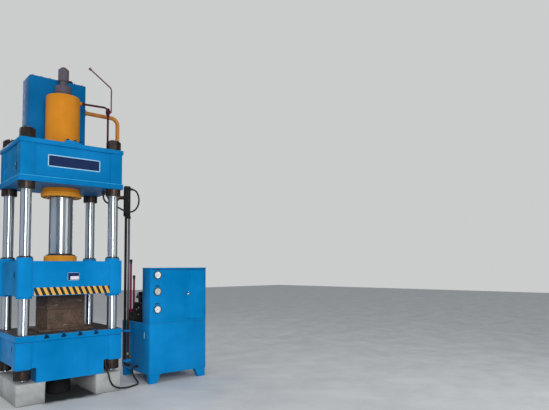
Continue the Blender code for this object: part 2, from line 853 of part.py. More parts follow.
def make_piers():
    """Two concrete piers that the foot of the bed stands on."""
    for side, name in ((-1, "support_block_left"), (1, "support_block_right")):
        across = sorted((side * PIER_INNER_X, side * (PIER_INNER_X + PIER_WIDTH)))
        half = PIER_LENGTH / 2
        place(name, box((across[0], -half, 0), (across[1], half, PIER_HEIGHT), PIER_EDGE), "concrete")


def side_pockets(name, half_x, height):
    """Round lifting holes in both sides of a beam."""
    ends = []
    for side in (-1, 1):
        for y in (-POCKET_PITCH / 2, POCKET_PITCH / 2):
            inner, outer = half_x - POCKET_DEPTH, half_x + POCKET_DEPTH
            ends.append(((side * inner, y, height), (side * outer, y, height)))
    return place(name, rods(ends, POCKET_RADIUS, SMALL_ROUND))


def make_bed():
    """The welded bed: walls with a deep foot between the piers, and a pillar round each column."""
    half_x = HALF_PITCH_X + BED_MARGIN_X
    half_y = HALF_PITCH_Y + BED_MARGIN_Y
    wall_x, wall_y = half_x - BED_PROUD_X, half_y - BED_PROUD_Y
    wing = PILLAR_FLOOR + BED_PROUD_Z
    top = TABLE_FLOOR - SEAT
    half_foot = BED_FOOT_WIDTH / 2
    bed = place("bed", box((-wall_x, -wall_y, BED_FLOOR), (wall_x, wall_y, top)), "blue paint")
    for side, name in ((-1, "left"), (1, "right")):
        across = sorted((side * half_foot, side * 2 * wall_x))
        space = box((across[0], -2 * wall_y, 0), (across[1], 2 * wall_y, wing), BED_FOOT_CORNER, along=1)
        cut(bed, place(f"bed_space_{name}", space))
    pillars = corner_boxes(half_x, half_y, BED_PILLAR_X, BED_PILLAR_Y, PILLAR_FLOOR, top, PILLAR_EDGE, None)
    join(bed, place("bed_pillars", pillars))
    cut(
        bed,
        uprights("bed_column_bores", CORNERS.values(), BORE_RADIUS, COLUMN_FOOT, TABLE_TOP),
        uprights("bed_rod_bore", [(0, 0)], EJECTOR_ROD_RADIUS + BED_BORE_PLAY, 0, TABLE_TOP),
        uprights(
            "bed_spigot_recess",
            [(0, 0)],
            EJECTOR_SPIGOT_RADIUS + SEAT,
            0,
            PIER_HEIGHT + EJECTOR_SPIGOT_HEIGHT + SEAT,
        ),
        side_pockets("bed_pockets", wall_x, TABLE_TOP - BED_POCKET_DROP),
    )
    low, high = wing - NIPPLE_LENGTH, wing + NIPPLE_LENGTH
    join(bed, uprights("bed_nipple", [FLOOR_HOSE_PORT], NIPPLE_RADIUS, low, high, SMALL_ROUND))


def slot_places():
    """Where the table's slots run, from left to right."""
    return [(i - (SLOT_COUNT - 1) / 2) * SLOT_PITCH for i in range(SLOT_COUNT)]


def make_table():
    """The bed's top plate, with T slots from front to back for the die's clamps."""
    half_x = HALF_PITCH_X + BED_MARGIN_X
    half_y = HALF_PITCH_Y + BED_MARGIN_Y
    floor = TABLE_TOP - SLOT_NECK_DEPTH - SLOT_HEAD_DEPTH
    blank = box((-half_x, -half_y, TABLE_FLOOR), (half_x, half_y, TABLE_TOP), TABLE_EDGE, steps=1)
    table = place("bed_plate", blank, "blue paint")
    half_neck, half_head = SLOT_NECK_WIDTH / 2, SLOT_HEAD_WIDTH / 2
    shoulder = TABLE_TOP - SLOT_NECK_DEPTH
    above = TABLE_TOP + TABLE_EDGE
    stand = Matrix.Rotation(pi / 2, 4, "X")
    for number, x in enumerate(slot_places()):
        outline = [
            (x - half_neck, above),
            (x - half_neck, shoulder),
            (x - half_head, shoulder),
            (x - half_head, floor),
            (x + half_head, floor),
            (x + half_head, shoulder),
            (x + half_neck, shoulder),
            (x + half_neck, above),
        ]
        cut(table, plate(f"table_slot_{number}", [outline], 2 * half_y + 2 * SLOT_HEAD_WIDTH, None, stand))
    low, high = TABLE_FLOOR - TABLE_THICKNESS, TABLE_TOP + TABLE_THICKNESS
    cut(
        table,
        uprights("table_column_bores", CORNERS.values(), BORE_RADIUS, low, high),
        uprights("table_rod_bore", [(0, 0)], EJECTOR_ROD_RADIUS + SLIP, low, high),
    )


def make_die():
    """The closed die between table and slide: a base plate and two halves with the joint between them."""
    x, half_x, half_y = DIE_SHIFT_X, DIE_WIDTH / 2, DIE_DEPTH / 2
    low, high = DIE_FLOOR, DIE_FLOOR + DIE_HEIGHT
    split = low + DIE_SPLIT
    inset = DIE_SPLIT_INSET
    die = place(
        "die_block",
        box((x - half_x + inset, -half_y + inset, low), (x + half_x - inset, half_y - inset, high - inset)),
        "rusty steel",
    )
    base = box(
        (x - DIE_BASE_WIDTH / 2, -DIE_BASE_DEPTH / 2, low),
        (x + DIE_BASE_WIDTH / 2, DIE_BASE_DEPTH / 2, low + DIE_BASE_HEIGHT),
        DIE_EDGE,
    )
    joint = DIE_SPLIT_GAP / 2
    lower = box(
        (x - half_x, -half_y, low + DIE_BASE_HEIGHT / 2), (x + half_x, half_y, split - joint), DIE_EDGE
    )
    upper = box((x - half_x, -half_y, split + joint), (x + half_x, half_y, high), DIE_EDGE)
    join(die, place("die_base", base), place("die_lower", lower), place("die_upper", upper))
    bore = uprights("die_bore", [(0, 0)], EJECTOR_ROD_RADIUS + BED_BORE_PLAY, 0, low + DIE_BORE_DEPTH)
    cut(die, bore)


def make_slide():
    """The slide: a beam with a guide boss at each column and a recess for the foot of the ram."""
    half_x = HALF_PITCH_X + SLIDE_MARGIN_X
    half_y = HALF_PITCH_Y + SLIDE_MARGIN_Y
    wall_x, wall_y = half_x - SLIDE_PROUD_X, half_y - SLIDE_PROUD_Y
    slide = place(
        "slide", box((-wall_x, -wall_y, SLIDE_FLOOR), (wall_x, wall_y, SLIDE_TOP)), "blue paint"
    )
    low, high = SLIDE_FLOOR - SLIDE_PROUD_BELOW, SLIDE_TOP + SLIDE_PROUD_ABOVE
    pillars = corner_boxes(half_x, half_y, SLIDE_PILLAR_X, SLIDE_PILLAR_Y, low, high, PILLAR_EDGE)
    middle = (SLIDE_FLOOR + SLIDE_TOP) / 2
    boss_top = SLIDE_TOP + SLIDE_BOSS_HEIGHT
    boss_floor = SLIDE_FLOOR - SLIDE_LOWER_BOSS_HEIGHT
    corners = CORNERS.values()
    join(
        slide,
        place("slide_pillars", pillars),
        uprights("slide_bosses", corners, SLIDE_BOSS_RADIUS, middle, boss_top),
        uprights("slide_lower_bosses", corners, SLIDE_LOWER_BOSS_RADIUS, boss_floor, middle + SLIDE_PROUD_X),
    )
    bush = COLUMN_RADIUS + SLIP + BUSH_WALL + SEAT
    cut(
        slide,
        uprights("slide_bush_bores", corners, bush, COLUMN_FOOT, CROWN_FLOOR),
        uprights(
            "slide_ram_recess", [(0, 0)], RAM_RADIUS + SEAT, SLIDE_TOP - RAM_RECESS, CROWN_FLOOR, BROAD_ROUND
        ),
        side_pockets("slide_pockets", wall_x, SLIDE_TOP - SLIDE_POCKET_DROP),
    )
    return slide


def make_bushes():
    """Bronze guide bushes in the slide, each with a flange on its boss."""
    inner = COLUMN_RADIUS + SLIP
    outer = inner + BUSH_WALL
    low = SLIDE_FLOOR - SLIDE_LOWER_BOSS_HEIGHT
    seat = SLIDE_TOP + SLIDE_BOSS_HEIGHT + SEAT
    profile = [
        (BUSH_FLANGE_RADIUS, seat + BUSH_FLANGE_HEIGHT),
        (BUSH_FLANGE_RADIUS, seat),
        (outer, seat),
        (outer, low),
        (inner, low),
        (inner, seat + BUSH_FLANGE_HEIGHT),
    ]
    return [
        turned(f"guide_bush_{corner}", profile, finish="bronze", at=(x, y, 0))
        for corner, (x, y) in CORNERS.items()
    ]


def make_ram():
    """The chromed ram with its piston, and the flange that clamps its foot to the slide."""
    foot = SLIDE_TOP - RAM_RECESS + SEAT
    piston = CYLINDER_BORE - SLIP
    profile = [
        (0, PISTON_FLOOR + PISTON_HEIGHT),
        (piston, PISTON_FLOOR + PISTON_HEIGHT),
        (piston, PISTON_FLOOR),
        (RAM_RADIUS, PISTON_FLOOR),
        (RAM_RADIUS, foot),
        (0, foot),
    ]
    ram = turned("ram", profile, BROAD_ROUND, "chrome")
    low = SLIDE_TOP + SEAT
    shape = ring(RAM_FLANGE_RADIUS, RAM_RADIUS + SEAT, low, low + RAM_FLANGE_HEIGHT, RAM_FLANGE_CHAMFER)
    return ram, turned("ram_flange", shape, BROAD_ROUND, "orange paint")


def make_crown():
    """The welded crown: two plates, walls and corner pillars between them, and the cylinder's bore."""
    half_x = HALF_PITCH_X + CROWN_MARGIN_X
    half_y = HALF_PITCH_Y + CROWN_MARGIN_Y
    wall_x, wall_y = half_x - CROWN_PLATE_OVERHANG, half_y - CROWN_PLATE_OVERHANG
    floor_top = CROWN_FLOOR + CROWN_FLOOR_PLATE
    floor_plate = box((-half_x, -half_y, CROWN_FLOOR), (half_x, half_y, floor_top), TABLE_EDGE)
    crown = place("crown", floor_plate, "blue paint")
    inner_low = CROWN_FLOOR + CROWN_FLOOR_PLATE / 2
    inner_high = CROWN_TOP - CROWN_TOP_PLATE / 2
    proud_x, proud_y = wall_x + CROWN_PILLAR_PROUD, wall_y + CROWN_PILLAR_PROUD
    edge = PILLAR_EDGE / 2
    pillars = corner_boxes(proud_x, proud_y, CROWN_PILLAR_X, CROWN_PILLAR_Y, inner_low, inner_high, edge)
    top = box((-half_x, -half_y, CROWN_TOP - CROWN_TOP_PLATE), (half_x, half_y, CROWN_TOP), TABLE_EDGE)
    join(
        crown,
        place("crown_walls", box((-wall_x, -wall_y, inner_low - SEAT), (wall_x, wall_y, inner_high + SEAT))),
        place("crown_pillars", pillars),
        place("crown_top_plate", top),
    )
    ports = (LONG_HOSE_PORT, SHORT_HOSE_PORT)
    low, high = CROWN_FLOOR - NIPPLE_LENGTH, CROWN_FLOOR + NIPPLE_LENGTH
    join(crown, uprights("crown_nipples", ports, NIPPLE_RADIUS, low, high, SMALL_ROUND))
    barrel = CYLINDER_RADIUS + SEAT
    cut(
        crown,
        uprights("crown_column_bores", CORNERS.values(), BORE_RADIUS, COLUMN_FOOT, COLUMN_HEAD),
        uprights("crown_cylinder_bore", [(0, 0)], barrel, SLIDE_TOP, CYLINDER_TOP, BROAD_ROUND),
        side_pockets("crown_pockets", wall_x, CROWN_FLOOR + CROWN_POCKET_RISE),
    )


def make_cylinder():
    """The main cylinder: a flanged barrel hung in the crown, open below for the ram, ported in its head."""
    flange, barrel, chamfer = CYLINDER_FLANGE_RADIUS, CYLINDER_RADIUS, CYLINDER_CHAMFER
    ceiling = CYLINDER_TOP - CYLINDER_HEAD
    profile = [
        (CYLINDER_PORT, CYLINDER_TOP),
        (barrel - chamfer, CYLINDER_TOP),
        (barrel, CYLINDER_TOP - chamfer),
        (barrel, CROWN_FLOOR - SEAT),
        (flange, CROWN_FLOOR - SEAT),
        (flange, CYLINDER_FLANGE_FLOOR),
        (CYLINDER_BORE, CYLINDER_FLANGE_FLOOR),
        (CYLINDER_BORE, ceiling),
        (CYLINDER_PORT, ceiling),
    ]
    cylinder = turned("main_cylinder", profile, BROAD_ROUND, "orange paint")
    out = Vector((cos(PRESSURE_ANGLE), sin(PRESSURE_ANGLE), 0))
    height = Vector((0, 0, PRESSURE_Z))
    wall = (CYLINDER_BORE + CYLINDER_RADIUS) / 2
    ends = [(height + out * wall, height + out * (CYLINDER_RADIUS + PORT_LENGTH))]
    port = rods(ends, PORT_RADIUS, SMALL_ROUND)
    join(cylinder, place("cylinder_port", port))


def make_gland():
    """The gland that closes the cylinder round the ram."""
    top = CYLINDER_FLANGE_FLOOR - SEAT
    low = top - GLAND_HEIGHT
    bore, spigot = RAM_RADIUS + SLIP, CYLINDER_BORE - SLIP
    profile = [
        (spigot, top + GLAND_SPIGOT),
        (spigot, top),
        (GLAND_RADIUS, top),
        (GLAND_RADIUS, low + GLAND_CHAMFER),
        (GLAND_RADIUS - GLAND_CHAMFER, low),
        (bore, low),
        (bore, top + GLAND_SPIGOT),
    ]
    turned("cylinder_gland", profile, BROAD_ROUND, "orange paint")


def make_lock_plate():
    """A curved bar on the crown that keeps the cylinder from turning."""
    inner = CYLINDER_RADIUS + SEAT
    outer = inner + LOCK_PLATE_WALL
    steps = 16
    outline = arc((0, 0), inner, LOCK_PLATE_FROM, LOCK_PLATE_TO, steps)
    outline += arc((0, 0), outer, LOCK_PLATE_TO, LOCK_PLATE_FROM, steps)
    stand = Matrix.Translation((0, 0, CROWN_TOP + SEAT + LOCK_PLATE_HEIGHT / 2))
    plate("cylinder_lock_plate", [outline], LOCK_PLATE_HEIGHT, "blue paint", stand)


def make_prefill_valve():
    """The prefill valve on the cylinder's head, its branch to the filling tank, and its pilot cap."""
    low = CYLINDER_TOP + SEAT
    shoulder = low + VALVE_HEIGHT
    top = shoulder + VALVE_NECK_HEIGHT
    groove = VALVE_RADIUS - VALVE_GROOVE_DEPTH
    profile = [
        (0, top),
        (VALVE_NECK_RADIUS, top),
        (VALVE_NECK_RADIUS, shoulder),
        (groove, shoulder),
        (VALVE_RADIUS, shoulder - VALVE_GROOVE_DEPTH),
        (VALVE_RADIUS, low + VALVE_GROOVE_TO),
        (groove, low + VALVE_GROOVE_TO - VALVE_GROOVE_SLOPE),
        (groove, low + VALVE_GROOVE_FROM + VALVE_GROOVE_SLOPE),
        (VALVE_RADIUS, low + VALVE_GROOVE_FROM),
        (VALVE_RADIUS, low),
        (CYLINDER_PORT - SEAT, low),
        (CYLINDER_PORT - SEAT, low - CYLINDER_HEAD / 2),
        (0, low - CYLINDER_HEAD / 2),
    ]
    valve = turned("prefill_valve_body", profile, VALVE_SIDES, "grey paint")
    height = low + VALVE_HEIGHT / 2
    branch = rods([((0, 0, height), (0, FILL_TANK_FRONT - SEAT, height))], VALVE_BRANCH_RADIUS, ROUND)
    join(valve, place("prefill_valve_branch", branch))
    cap_low = top + SEAT
    cap_top = cap_low + VALVE_CAP_HEIGHT
    step = cap_top - VALVE_CAP_STEP
    cap = [
        (0, cap_top),
        (VALVE_CAP_RADIUS * 0.55, cap_top),
        (VALVE_CAP_RADIUS * 0.55, step),
        (VALVE_CAP_RADIUS - VALVE_CAP_EDGE, step),
        (VALVE_CAP_RADIUS, step - VALVE_CAP_EDGE),
        (VALVE_CAP_RADIUS, cap_low + VALVE_CAP_EDGE),
        (VALVE_CAP_RADIUS - VALVE_CAP_EDGE, cap_low),
        (0, cap_low),
    ]
    turned("prefill_valve_cap", cap, ROUND, "grey paint")


def make_filling_tank():
    """The filling tank on the back of the crown, with a raised lid."""
    left = FILL_TANK_SHIFT_X - FILL_TANK_WIDTH / 2
    right = left + FILL_TANK_WIDTH
    back = FILL_TANK_FRONT + FILL_TANK_DEPTH
    top = CROWN_TOP + FILL_TANK_HEIGHT
    tank = place(
        "filling_tank",
        box((left, FILL_TANK_FRONT, CROWN_TOP + SEAT), (right, back, top), FILL_TANK_EDGE, along=2),
        "blue paint",
    )
    inset = FILL_TANK_LID_INSET
    lid = box(
        (left + inset, FILL_TANK_FRONT + inset, top - FILL_TANK_LID_HEIGHT),
        (right - inset, back - inset, top + FILL_TANK_LID_HEIGHT),
        FILL_TANK_LID_HEIGHT / 3,
    )
    join(tank, place("filling_tank_lid", lid))
    return right


def make_ejector():
    """The ejector cylinder under the bed, and its rod with the piston."""
    top = PIER_HEIGHT
    low = top - EJECTOR_LENGTH
    mouth = top + EJECTOR_SPIGOT_HEIGHT
    hole = EJECTOR_ROD_RADIUS + SLIP
    floor = low + EJECTOR_WALL
    profile = [
        (0, floor),
        (EJECTOR_BORE, floor),
        (EJECTOR_BORE, mouth - EJECTOR_WALL),
        (hole, mouth - EJECTOR_WALL),
        (hole, mouth),
        (EJECTOR_SPIGOT_RADIUS, mouth),
        (EJECTOR_SPIGOT_RADIUS, top),
        (EJECTOR_FLANGE_RADIUS, top),
        (EJECTOR_FLANGE_RADIUS, top - EJECTOR_FLANGE_HEIGHT),
        (EJECTOR_RADIUS, top - EJECTOR_FLANGE_HEIGHT),
        (EJECTOR_RADIUS, low + EJECTOR_CHAMFER),
        (EJECTOR_RADIUS - EJECTOR_CHAMFER, low),
        (0, low),
    ]
    turned("ejector_cylinder", profile, ROUND, "black paint")
    piston = floor + EJECTOR_PISTON_LIFT
    rod_top = TABLE_TOP - EJECTOR_ROD_BELOW_TABLE
    rod = [
        (0, rod_top),
        (EJECTOR_ROD_RADIUS, rod_top),
        (EJECTOR_ROD_RADIUS, piston + EJECTOR_PISTON_HEIGHT),
        (EJECTOR_BORE - SLIP, piston + EJECTOR_PISTON_HEIGHT),
        (EJECTOR_BORE - SLIP, piston),
        (0, piston),
    ]
    turned("ejector_rod", rod, ROUND, "chrome")


def make_leg(side_x, side_y):
    """A leg that tapers inwards to its foot, just inside the tank's corner."""
    outer_x = TANK_LEFT if side_x < 0 else TANK_RIGHT
    outer_y = TANK_FRONT if side_y < 0 else TANK_BACK
    shape = bmesh.new()
    bmesh.ops.create_cube(shape, size=1.0)
    for corner in shape.verts:
        upper = corner.co.z > 0
        inner_x = corner.co.x * side_x < 0
        inner_y = corner.co.y * side_y < 0
        width = LEG_TOP_X if upper else LEG_FOOT_X
        depth = LEG_TOP_Y if upper else LEG_FOOT_Y
        corner.co.x = outer_x - side_x * (width if inner_x else LEG_INSET)
        corner.co.y = outer_y - side_y * (depth if inner_y else LEG_INSET)
        corner.co.z = LEG_HEIGHT + 2 * TANK_EDGE if upper else 0.0
    return shape


def make_oil_tank():
    """The oil tank on four legs, with its filler, the two pipe clamps and the ports in its left side."""
    tank = place(
        "oil_tank",
        box((TANK_LEFT, TANK_FRONT, LEG_HEIGHT), (TANK_RIGHT, TANK_BACK, TANK_TOP), TANK_EDGE),
        "blue paint",
    )
    for side_x in (-1, 1):
        for side_y in (-1, 1):
            join(tank, place(f"tank_leg_{side_x}_{side_y}", make_leg(side_x, side_y)))
    filler = (TANK_RIGHT - FILLER_FROM_RIGHT, TANK_BACK - FILLER_FROM_BACK)
    low, high = TANK_TOP - TANK_EDGE, TANK_TOP + FILLER_HEIGHT
    join(tank, uprights("tank_filler", [filler], FILLER_RADIUS, low, high, ROUND))
    for number, rise in enumerate(CLAMP_RISES):
        low = LEG_HEIGHT + rise
        clamp = box(
            (RISER_X - RISER_RADIUS - CLAMP_WALL, GREY_Y - GREY_RADIUS - CLAMP_WALL, low),
            (TANK_LEFT + TANK_EDGE, RISER_Y + RISER_RADIUS + CLAMP_WALL, low + CLAMP_HEIGHT),
            CLAMP_WALL / 3,
        )
        join(tank, place(f"tank_clamp_{number}", clamp))
    start = (TANK_LEFT + TANK_EDGE, TANK_HOSE_PORT_Y, TANK_HOSE_PORT_Z)
    end = (TANK_LEFT - NIPPLE_LENGTH, TANK_HOSE_PORT_Y, TANK_HOSE_PORT_Z)
    join(tank, place("tank_nipple", rods([(start, end)], NIPPLE_RADIUS, SMALL_ROUND)))
    low = LEG_HEIGHT + CLAMP_RISES[0] - CLAMP_HEIGHT
    cut(
        tank,
        uprights("clamp_bore", [(RISER_X, RISER_Y)], RISER_RADIUS + SEAT, low, TANK_TOP, SMALL_ROUND),
        uprights("clamp_grey_bore", [(GREY_X, GREY_Y)], GREY_RADIUS + SEAT, low, TANK_TOP, SMALL_ROUND),
    )


def hinge_spans():
    """The height ranges of the two door hinges."""
    half = HINGE_LENGTH / 2
    middles = (DOOR_FLOOR + HINGE_INSET, DOOR_TOP - HINGE_INSET)
    return [(middle - half, middle + half) for middle in middles]


def knuckle(name, low, high, leaf_to, sheet_from):
    """One knuckle of a hinge, with the leaf that joins it to a sheet that begins beside it."""
    pin = uprights(name, [(HINGE_X, HINGE_Y)], HINGE_RADIUS, low, high, SMALL_ROUND)
    across = sorted((HINGE_X, leaf_to))
    front, back = TANK_FRONT - HINGE_LEAF, TANK_FRONT - HINGE_LEAF / 3
    leaf = box((across[0], front, low + HINGE_LEAF), (across[1], back, high - HINGE_LEAF))
    across = sorted((sheet_from, (leaf_to + sheet_from) / 2))
    inset = 2 * HINGE_LEAF
    near = (across[0], (front + back) / 2, low + inset)
    weld = box(near, (across[1], TANK_FRONT + DOOR_SHEET / 2, high - inset))
    return pin, place(f"{name}_leaf", leaf), place(f"{name}_weld", weld)


def make_cabinet():
    """The panel cabinet: a folded sheet box with holes for the gauges and an opening for the door."""
    low = (TANK_LEFT, TANK_FRONT, DECK)
    high = (TANK_RIGHT, TANK_FRONT + CABINET_DEPTH, DECK + CABINET_HEIGHT)
    wall = Vector((CABINET_WALL, CABINET_WALL, CABINET_WALL))
    cabinet = place("panel_cabinet", box(low, high, CABINET_WALL / 2), "blue paint")
    inside = place("cabinet_inside", box(Vector(low) + wall, Vector(high) - wall))
    front, behind = TANK_FRONT - CABINET_WALL, TANK_FRONT + 2 * CABINET_WALL
    opening = place("cabinet_opening", box((DOOR_LEFT, front, DOOR_FLOOR), (DOOR_RIGHT, behind, DOOR_TOP)))
    x = TANK_LEFT + GAUGE_FROM_LEFT
    holes = [((x, behind, DECK + rise), (x, front, DECK + rise)) for rise in GAUGE_RISES.values()]
    cut(cabinet, inside, opening, place("gauge_holes", rods(holes, GAUGE_BACK_RADIUS + SEAT, ROUND)))
    quarter = HINGE_LENGTH / 4
    edge = HINGE_X + HINGE_RADIUS
    for number, (bottom, top) in enumerate(hinge_spans()):
        for end, span in {"lower": (bottom, bottom + quarter), "upper": (top - quarter, top)}.items():
            name = f"cabinet_knuckle_{number}_{end}"
            join(cabinet, *knuckle(name, *span, edge + HINGE_LIP, edge - HINGE_LIP / 2))


def make_door():
    """The cabinet's door: a shallow pan with its left strip set back, on two hinges at its right edge."""
    left, right = DOOR_LEFT + DOOR_GAP, DOOR_RIGHT - DOOR_GAP
    low, high = DOOR_FLOOR + DOOR_GAP, DOOR_TOP - DOOR_GAP
    back = TANK_FRONT + DOOR_DEPTH
    fold = left + DOOR_FOLD
    strip = TANK_FRONT + DOOR_FOLD_DEPTH
    sheet = DOOR_SHEET
    outline = [
        (left, back),
        (left, strip),
        (fold - DOOR_FOLD_DEPTH, strip),
        (fold, TANK_FRONT),
        (right, TANK_FRONT),
        (right, back),
    ]
    hollow = [
        (left + sheet, back + sheet),
        (left + sheet, strip + sheet),
        (fold - DOOR_FOLD_DEPTH + sheet / 2, strip + sheet),
        (fold + sheet / 2, TANK_FRONT + sheet),
        (right - sheet, TANK_FRONT + sheet),
        (right - sheet, back + sheet),
    ]
    middle = Matrix.Translation((0, 0, (low + high) / 2))
    door = plate("cabinet_door", [outline], high - low, "blue paint", middle)
    cut(door, plate("door_hollow", [hollow], high - low - 2 * sheet, None, middle))
    inset = HINGE_LENGTH / 4 + SLIP
    leaf_to = HINGE_X - HINGE_LEAF_WIDTH
    for number, (bottom, top) in enumerate(hinge_spans()):
        join(door, *knuckle(f"door_knuckle_{number}", bottom + inset, top - inset, leaf_to, right - sheet))
    knob_x, knob_z = DOOR_LEFT + KNOB_FROM_LEFT, DECK + KNOB_RISE
    through = [((knob_x, back, knob_z), (knob_x, TANK_FRONT - DOOR_DEPTH, knob_z))]
    cut(door, place("door_knob_hole", rods(through, KNOB_SPINDLE + SLIP, SMALL_ROUND)))
    own_origin(door, (HINGE_X, HINGE_Y, 0))
    face = DOOR_FOLD_DEPTH  # depth of the strip that carries the knob, behind the cabinet's front
    grip = KNOB_HEIGHT + SEAT - face
    seat = SEAT - face
    profile = [
        (0, grip),
        (KNOB_RADIUS * 0.8, grip),
        (KNOB_RADIUS, grip - KNOB_EDGE),
        (KNOB_RADIUS, seat + KNOB_TAPER),
        (KNOB_RADIUS * 0.7, seat),
        (KNOB_SPINDLE, seat),
        (KNOB_SPINDLE, seat - DOOR_SHEET - KNOB_SPINDLE_REACH),
        (0, seat - DOOR_SHEET - KNOB_SPINDLE_REACH),
    ]
    at = (knob_x, TANK_FRONT, knob_z)
    knob = turned("door_knob", profile, SMALL_ROUND, "zinc", at, facing_front=True)
    flat = KNOB_RADIUS * 0.35
    sides = bmesh.new()
    for side in (-1, 1):
        across = sorted((side * flat, side * 2 * KNOB_RADIUS))
        piece = box((across[0], -2 * KNOB_RADIUS, grip / 2), (across[1], 2 * KNOB_RADIUS, 2 * grip))
        mesh = bpy.data.meshes.new("side")
        piece.to_mesh(mesh)
        piece.free()
        sides.from_mesh(mesh)
        bpy.data.meshes.remove(mesh)
    flats = place("door_knob_flats", sides)
    flats.location = knob.location
    flats.rotation_euler = knob.rotation_euler
    cut(knob, flats)
    ride_on(door, knob)


def make_gauges():
    """Three pressure gauges in the cabinet's front, each a cased dial and a needle that turns on it."""
    x = TANK_LEFT + GAUGE_FROM_LEFT
    rest = Matrix.Rotation(radians(-NEEDLE_REST), 4, "Z")
    for name, rise in GAUGE_RISES.items():
        at = (x, TANK_FRONT, DECK + rise)
        face = SEAT + GAUGE_HEIGHT - GAUGE_RECESS
        profile = [
            (0, face),
            (GAUGE_DIAL_RADIUS, face),
            (GAUGE_DIAL_RADIUS, SEAT + GAUGE_HEIGHT),
            (GAUGE_RADIUS - GAUGE_RIM_TAPER, SEAT + GAUGE_HEIGHT),
            (GAUGE_RADIUS, SEAT + GAUGE_HEIGHT - GAUGE_RIM_SLOPE),
            (GAUGE_RADIUS, SEAT),
            (GAUGE_BACK_RADIUS, SEAT),
            (GAUGE_BACK_RADIUS, -GAUGE_BACK_DEPTH),
            (0, -GAUGE_BACK_DEPTH),
        ]
        turned(f"gauge_{name}", profile, ROUND, "dial", at, facing_front=True)
        low = face + SEAT
        high = low + NEEDLE_HUB_HEIGHT
        profile = [(0, high), (NEEDLE_HUB, high), (NEEDLE_HUB, low), (0, low)]
        hub = turned(f"gauge_needle_{name}", profile, SMALL_ROUND, "needle", at, facing_front=True)
        half = NEEDLE_WIDTH / 2
        tip = half / 4
        outline = [(-half, -NEEDLE_TAIL), (half, -NEEDLE_TAIL), (tip, NEEDLE_LENGTH), (-tip, NEEDLE_LENGTH)]
        stand = Matrix.Translation((0, 0, low + NEEDLE_HUB_HEIGHT / 2)) @ rest
        pointer = plate(f"gauge_pointer_{name}", [outline], NEEDLE_THICKNESS, None, stand)
        pointer.location = at
        pointer.rotation_euler = hub.rotation_euler
        join(hub, pointer)


def finned_outline(radius, fin, count):
    """A motor housing's section: fins all round a drum."""
    points = []
    step = 2 * pi / count
    for i in range(count):
        for share, reach in ((-0.20, radius), (-0.14, radius + fin), (0.14, radius + fin), (0.20, radius)):
            angle = (i + share) * step
            points.append((reach * cos(angle), reach * sin(angle)))
    return points


def shaft_bore(name, start, end):
    """A bore for the shaft of motor and pump, between two places from front to back."""
    ends = [((MOTOR_X, start, MOTOR_Z), (MOTOR_X, end, MOTOR_Z))]
    return place(name, rods(ends, SHAFT_RADIUS + SLIP, SMALL_ROUND))


def make_motor():
    """The electric motor: a finned drum on feet, a plain bell at each end and a terminal box."""
    back = MOTOR_FRONT + MOTOR_LENGTH
    middle = Matrix.Translation((MOTOR_X, (MOTOR_FRONT + back) / 2, MOTOR_Z))
    stand = middle @ Matrix.Rotation(pi / 2, 4, "X")
    outline = finned_outline(MOTOR_RADIUS, MOTOR_FIN, MOTOR_FINS)
    motor = plate("electric_motor", [outline], MOTOR_LENGTH - 2 * MOTOR_BELL, "black paint", stand)
    ends = [
        ((MOTOR_X, MOTOR_FRONT, MOTOR_Z), (MOTOR_X, MOTOR_FRONT + 2 * MOTOR_BELL, MOTOR_Z)),
        ((MOTOR_X, back, MOTOR_Z), (MOTOR_X, back - 2 * MOTOR_BELL, MOTOR_Z)),
    ]
    half = MOTOR_RADIUS * 0.8
    foot = box(
        (MOTOR_X - half, MOTOR_FRONT + 3 * MOTOR_BELL, DECK),
        (MOTOR_X + half, back - 3 * MOTOR_BELL, MOTOR_Z),
        MOTOR_EDGE,
    )
    start = MOTOR_FRONT + TERMINAL_FROM_FRONT
    terminal = box(
        (MOTOR_X - half / 2, start, MOTOR_Z),
        (MOTOR_X + half / 2, start + TERMINAL_LENGTH, MOTOR_Z + MOTOR_RADIUS + TERMINAL_RISE),
        MOTOR_EDGE,
    )
    join(
        motor,
        place("motor_bells", rods(ends, MOTOR_RADIUS + MOTOR_FIN * 0.4, ROUND)),
        place("motor_foot", foot),
        place("motor_terminal_box", terminal),
    )
    cut(motor, shaft_bore("motor_shaft_bore", back - SHAFT_IN - SEAT, back + SHAFT_IN))


def make_coupling():
    """The jaw coupling between motor and pump, with the shaft ends that carry it."""
    start = MOTOR_FRONT + MOTOR_LENGTH
    low, high = start + COUPLING_CLEAR, start + COUPLING_CLEAR + COUPLING_LENGTH
    pump = high + COUPLING_CLEAR
    middle = (low + high) / 2
    half = COUPLING_SPIDER / 2
    waist = COUPLING_RADIUS * 0.86
    profile = [
        (0, -start + SHAFT_IN),
        (SHAFT_RADIUS, -start + SHAFT_IN),
        (SHAFT_RADIUS, -low),
        (COUPLING_RADIUS, -low),
        (COUPLING_RADIUS, -middle + half),
        (waist, -middle + half),
        (waist, -middle - half),
        (COUPLING_RADIUS, -middle - half),
        (COUPLING_RADIUS, -high),
        (SHAFT_RADIUS, -high),
        (SHAFT_RADIUS, -pump - SHAFT_IN),
        (0, -pump - SHAFT_IN),
    ]
    turned("shaft_coupling", profile, SMALL_ROUND, "zinc", (MOTOR_X, 0, MOTOR_Z), facing_front=True)
    return pump


